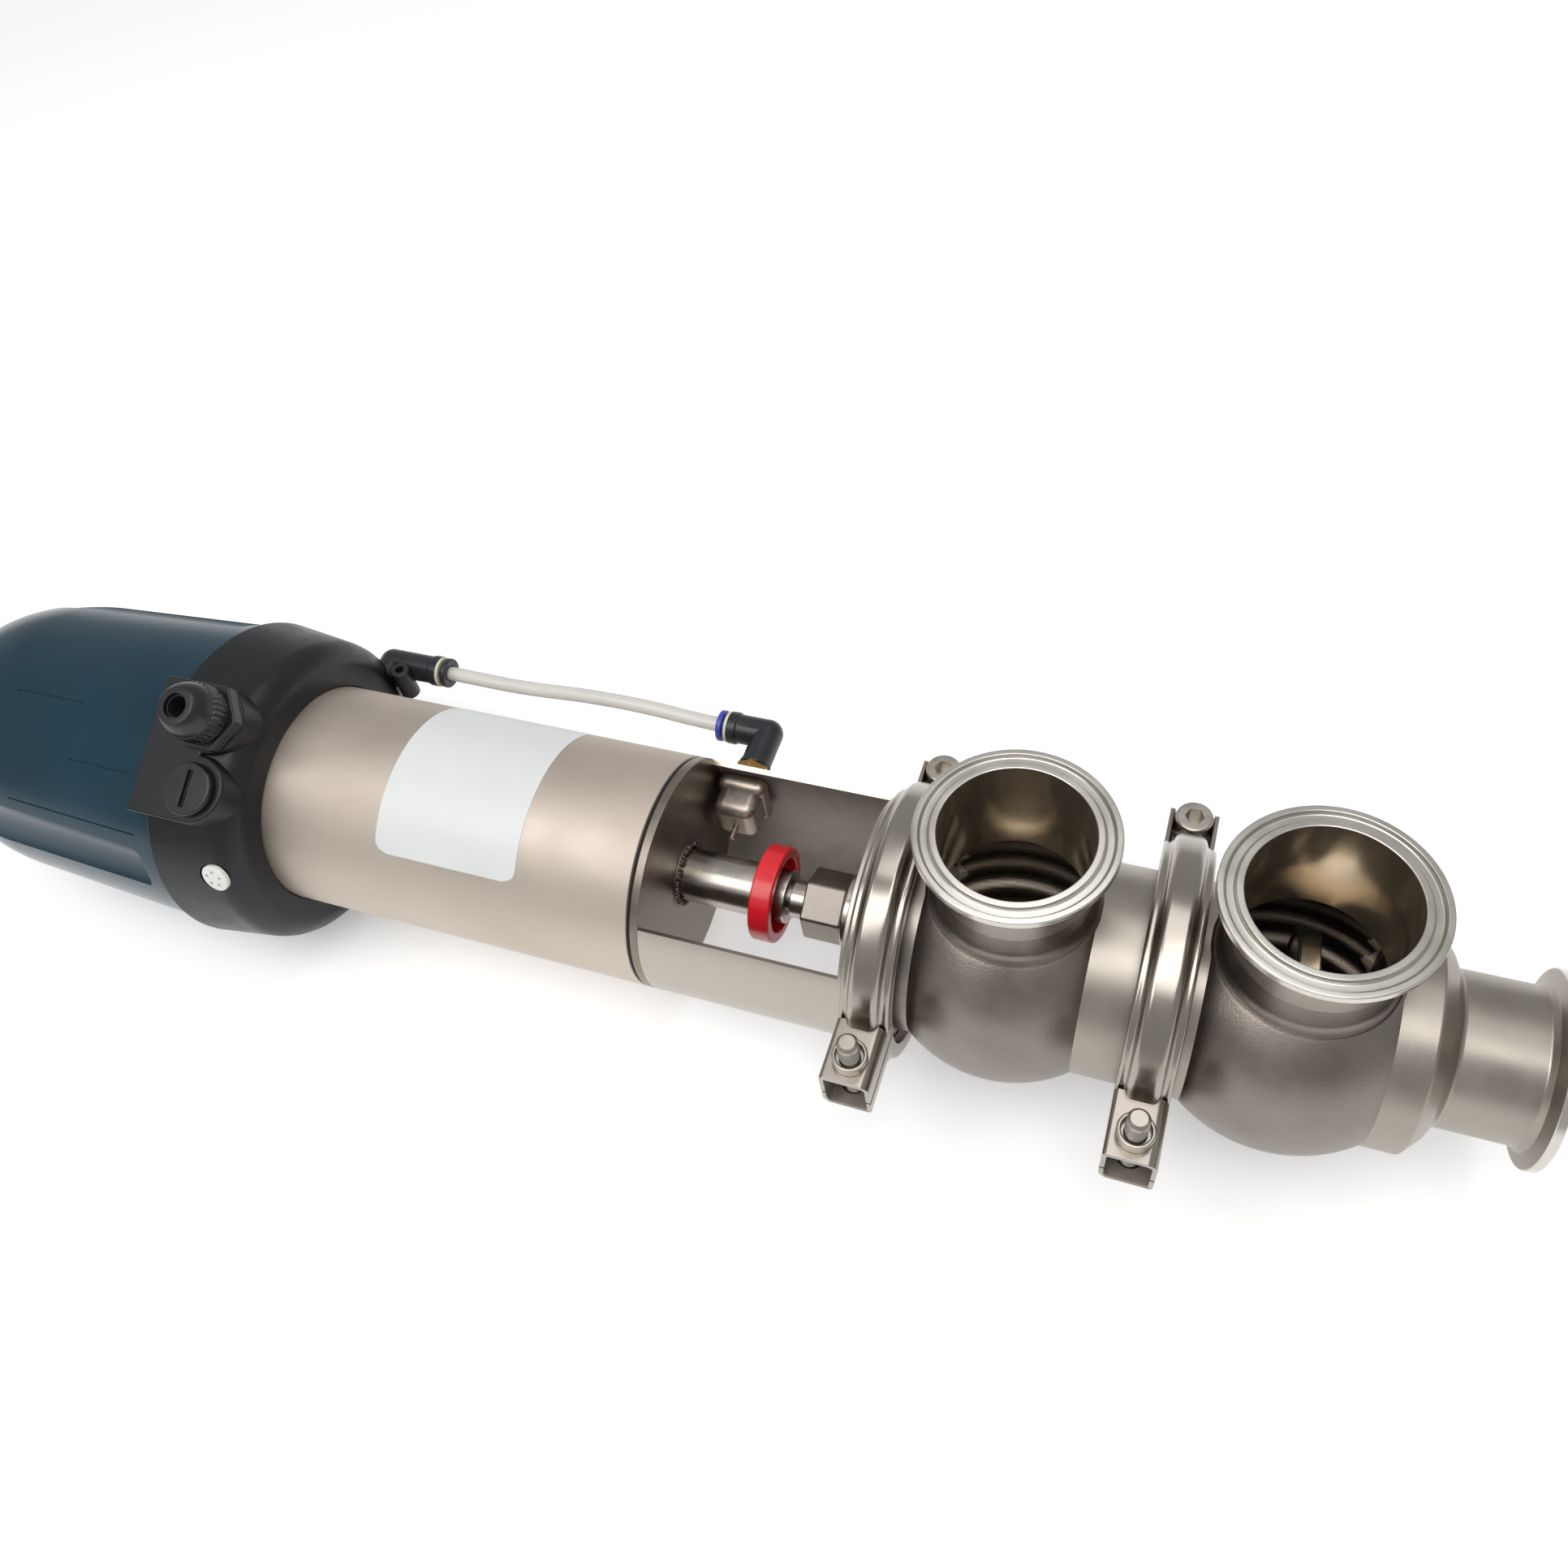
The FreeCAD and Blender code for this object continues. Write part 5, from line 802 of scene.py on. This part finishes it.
# Each groove is cut by a slightly conical tool that lies along the dome's own taper
for turn in (75, 195, 315):
    cutter = lathe("flute", [(-122, 0), (-122, 28.6, 4), (-9, 22.3, 3), (-9, 0)],
                   at(0, 0, GROOVE_AXIS), 128)
    cutter.data.transform(Matrix.Rotation(math.radians(turn), 4, "X"))
    carve(cap, cutter)
for turn, start, length in ((17, -42, 35), (38, -11, 31), (60, -9.5, 66)):
    line = block("mould_line", (-length, -0.3, -0.5), (0, 0.3, 3), 0.1)
    line.data.transform(Matrix.Rotation(math.radians(turn), 4, "X")
                        @ at(start, 0, CAP_RIM + CAP_TAPER * start)
                        @ Matrix.Rotation(-CAP_TAPER, 4, "Y"))
    carve(cap, line)
# The grooves meet the dome at a low angle, and their edges are kept sharp all the same
cap.data.set_sharp_from_angle(angle=math.radians(9))
cap.data.transform(at(SEAM_X, 0, 0))
fit(cap, deep_tinted_polycarbonate, "housing", "cap_teal", "head_cap")
dress(seal_rubber, "cap_seal", "gland_seal")

# Pad ports: a black nylon cable gland with a ribbed dome nut in one, and a slotted blanking plug
# with a round disc in the other. Both are moulded and screwed into the pad's flat top.
RIBS, RIB_DEPTH, RIBS_FROM, RIBS_TO = 32, 0.5, 6.2, 12.8
# Black polyamide: a shade shinier than the base, so its hexagon and ribs catch thin lights
moulded_black_polyamide = surface("moulded_black_polyamide", "#1B1C1F", "#121316", 0.3, 5, 0.5, 0.008)


def on_pad(side):
    """Where a port leaves the pad, with the piece's X axis straight out of it."""
    return PAD_TURN @ at(0, side, PAD_TOP) @ FACE_UP


gland_x = HEAD_FRONT + PORT_X
gland_place = at(gland_x, 0, 0) @ on_pad(PORT_OFFSET)
gland = join(
    prism("hex", hexagon(24, 1), 0, 5, gland_place, 0.6),
    lathe("threads", [(-13, 6.6), (5.5, 6.6), (5.5, 9), (0.2, 9), (0.2, 7.9), (-13, 7.9, 0.4)],
          gland_place, 64))
gland.name = "cable_gland_moulded"
fit(gland, moulded_black_polyamide, "housing", "housing_black", "cable_gland")
dome_nut = lathe("gland_dome_nut_moulded", [
    (5, 6.5), (5, 10.8), (6, 10.8), (6.3, 11), (9.5, 11), (12.7, 11), (13, 10.4), (15.3, 10),
    (17.6, 9), (19.2, 7.8), (20, 6.9, 0.5), (20, 4.6), (17, 4.2), (17, 6.5)], gland_place, 384)
inverse = gland_place.inverted()
for vert in dome_nut.data.vertices:
    spot = inverse @ vert.co
    radius = math.hypot(spot.y, spot.z)
    if radius > 10 * MM and RIBS_FROM * MM < spot.x < RIBS_TO * MM:
        turn = math.atan2(spot.z, spot.y)
        shrink = 1 - RIB_DEPTH * MM / radius * (0.5 + 0.5 * math.cos(RIBS * turn))
        vert.co = gland_place @ Vector((spot.x, spot.y * shrink, spot.z * shrink))
fit(dome_nut, moulded_black_polyamide, "housing", "housing_black", "gland_dome_nut")

plug_place = at(gland_x, 0, 0) @ on_pad(-PORT_OFFSET)
blank = lathe("blanking_plug_moulded", [
    (-12, 7.9, 0.4), (0, 7.9), (0, 10, 0.3), (3, 10, 0.9), (3, 0), (0, 0), (-12, 0)], plug_place, 96)
slot_tool = block("slot", (1.5, -7, -1.1), (4.5, 7, 1.1), 0.2)
slot_tool.data.transform(plug_place)
carve(blank, slot_tool)
fit(blank, moulded_black_polyamide, "housing", "housing_black", "blanking_plug")

# Vent: a moulded white polypropylene button, snapped into the shoulder, with a ring of pinholes
# over its membrane.
PINHOLES, PINHOLE_RING = 5, 3
# Polypropylene: waxy white and soft in the light
white_polypropylene = surface("white_polypropylene", "#E9E8E4", "#DAD9D4", 0.4, 5, 0.5, 0.006)
vent_place = at(HEAD_FRONT, 0, 0) @ VENT_TURN @ at(VENT_X, 0, VENT_SEAT) @ FACE_UP
vent = lathe("vent_cap_moulded", [
    (-3, 0), (-3, 2.8), (0, 2.8), (0, 5.7), (1.6, 5.7, 0.5), (2, 4.4), (2, 0)], vent_place, 96)
for number in range(PINHOLES):
    angle = math.radians(360 / PINHOLES * number)
    spot = at(0, PINHOLE_RING * math.cos(angle), PINHOLE_RING * math.sin(angle))
    carve(vent, lathe("pinhole", [(0.6, 0), (0.6, 0.75), (4, 0.75), (4, 0)], vent_place @ spot, 20))
fit(vent, white_polypropylene, "housing", "vent_white", "vent_cap")

# Inside the head: a circuit board of glass-epoxy laminate, deep green and softly shining under its
# solder resist, a small solenoid valve and the position sensor's disc, all screwed to the base. The
# closed cap hides them, so the solids are shown as they are.
solder_resist_laminate = surface("solder_resist_laminate", "#1E6B3C", "#175531", 0.35, 6, 1, 0.01)
dress(solder_resist_laminate, "circuit_board")
dress(moulded_black_polyamide, "solenoid_valve", "position_sensor")

# Studio: a white floor that keeps the shadow, three large soft lamps and a pale room. The floor
# glows a little for the camera and in mirrors, as the photo's washed-out background does.
FLOOR_REACH, FLOOR_GLOW, ROOM_GLOW = 4, 0.3, 0.48
low = min(corner[2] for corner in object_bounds())
floor_mesh = bpy.data.meshes.new("floor")
floor_mesh.from_pydata([
    (FLOOR_REACH * x, FLOOR_REACH * y, low) for x, y in ((-1, -1), (1, -1), (1, 1), (-1, 1))
], [], [(0, 1, 2, 3)])
floor = bpy.data.objects.new("floor", floor_mesh)
bpy.context.scene.collection.objects.link(floor)
floor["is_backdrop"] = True
white_floor = bpy.data.materials.new("white_floor")
white_floor.use_nodes = True
links = white_floor.node_tree.links
seen = add_node(white_floor, "LightPath", {})
glowing = seen.outputs["Is Camera Ray"]
for ray in ("Is Glossy Ray", "Is Transmission Ray"):
    either = add_node(white_floor, "Math", {}, operation="MAXIMUM")
    links.new(glowing, either.inputs[0])
    links.new(seen.outputs[ray], either.inputs[1])
    glowing = either.outputs[0]
glow = add_node(white_floor, "Math", {}, operation="MULTIPLY")
links.new(glowing, glow.inputs[0])
glow.inputs[1].default_value = FLOOR_GLOW
add_node(white_floor, "BsdfPrincipled", {
    "Base Color": (0.9, 0.9, 0.9, 1), "Roughness": 0.9, "Emission Color": (1, 1, 1, 1),
    "Emission Strength": glow.outputs[0]})
floor_mesh.materials.append(white_floor)


def lamp(name, spot, size, power):
    """A square soft lamp, in metres and watts, that looks at the middle of the valve."""
    light = bpy.data.lights.new(name, "AREA")
    light.energy, light.size = power, size
    holder = bpy.data.objects.new(name, light)
    holder.location = spot
    holder.rotation_euler = (Vector((-0.3, 0, 0.02)) - Vector(spot)).to_track_quat("-Z", "Y").to_euler()
    bpy.context.scene.collection.objects.link(holder)


lamp("key", (-0.8, -0.65, 1.35), 0.9, 8.5)
lamp("fill", (0, -0.42, 1.42), 0.8, 6)
lamp("back", (-0.15, 0.35, 1.45), 0.8, 3.6)
world = bpy.data.worlds.new("pale_room")
bpy.context.scene.world = world
world.use_nodes = True
room = world.node_tree.nodes["Background"].inputs
room["Color"].default_value = (1, 1, 1, 1)
room["Strength"].default_value = ROOM_GLOW

# Camera: it stands in front and above, as the photograph was taken, turned a little about its own
# axis. Its place and lens were fitted to the ferrules' rims, the cylinder's end and the head's seam.
FOCAL_PIXELS, IMAGE_PIXELS, SENSOR = 1582.5, 1932, 36
camera_data = bpy.data.cameras.new("camera")
camera_data.sensor_width = SENSOR
camera_data.lens = FOCAL_PIXELS / IMAGE_PIXELS * SENSOR
camera_data.clip_start, camera_data.clip_end = 0.01, 50
camera = bpy.data.objects.new("camera", camera_data)
azimuth, elevation, roll = (math.radians(angle) for angle in (28.103, 53.134, -11.656))
back = Vector((math.sin(azimuth) * math.cos(elevation), -math.cos(azimuth) * math.cos(elevation),
               math.sin(elevation)))
right = (-back).cross(Vector((0, 0, 1))).normalized()
up = right.cross(-back)
right, up = (right * math.cos(roll) + up * math.sin(roll), up * math.cos(roll) - right * math.sin(roll))
camera.matrix_world = (Matrix.Translation((-0.1274, -0.2173, 0.4011))
                       @ Matrix((right, up, back)).transposed().to_4x4())
bpy.context.scene.collection.objects.link(camera)
bpy.context.scene.camera = camera
bpy.context.scene.view_settings.view_transform = "Standard"
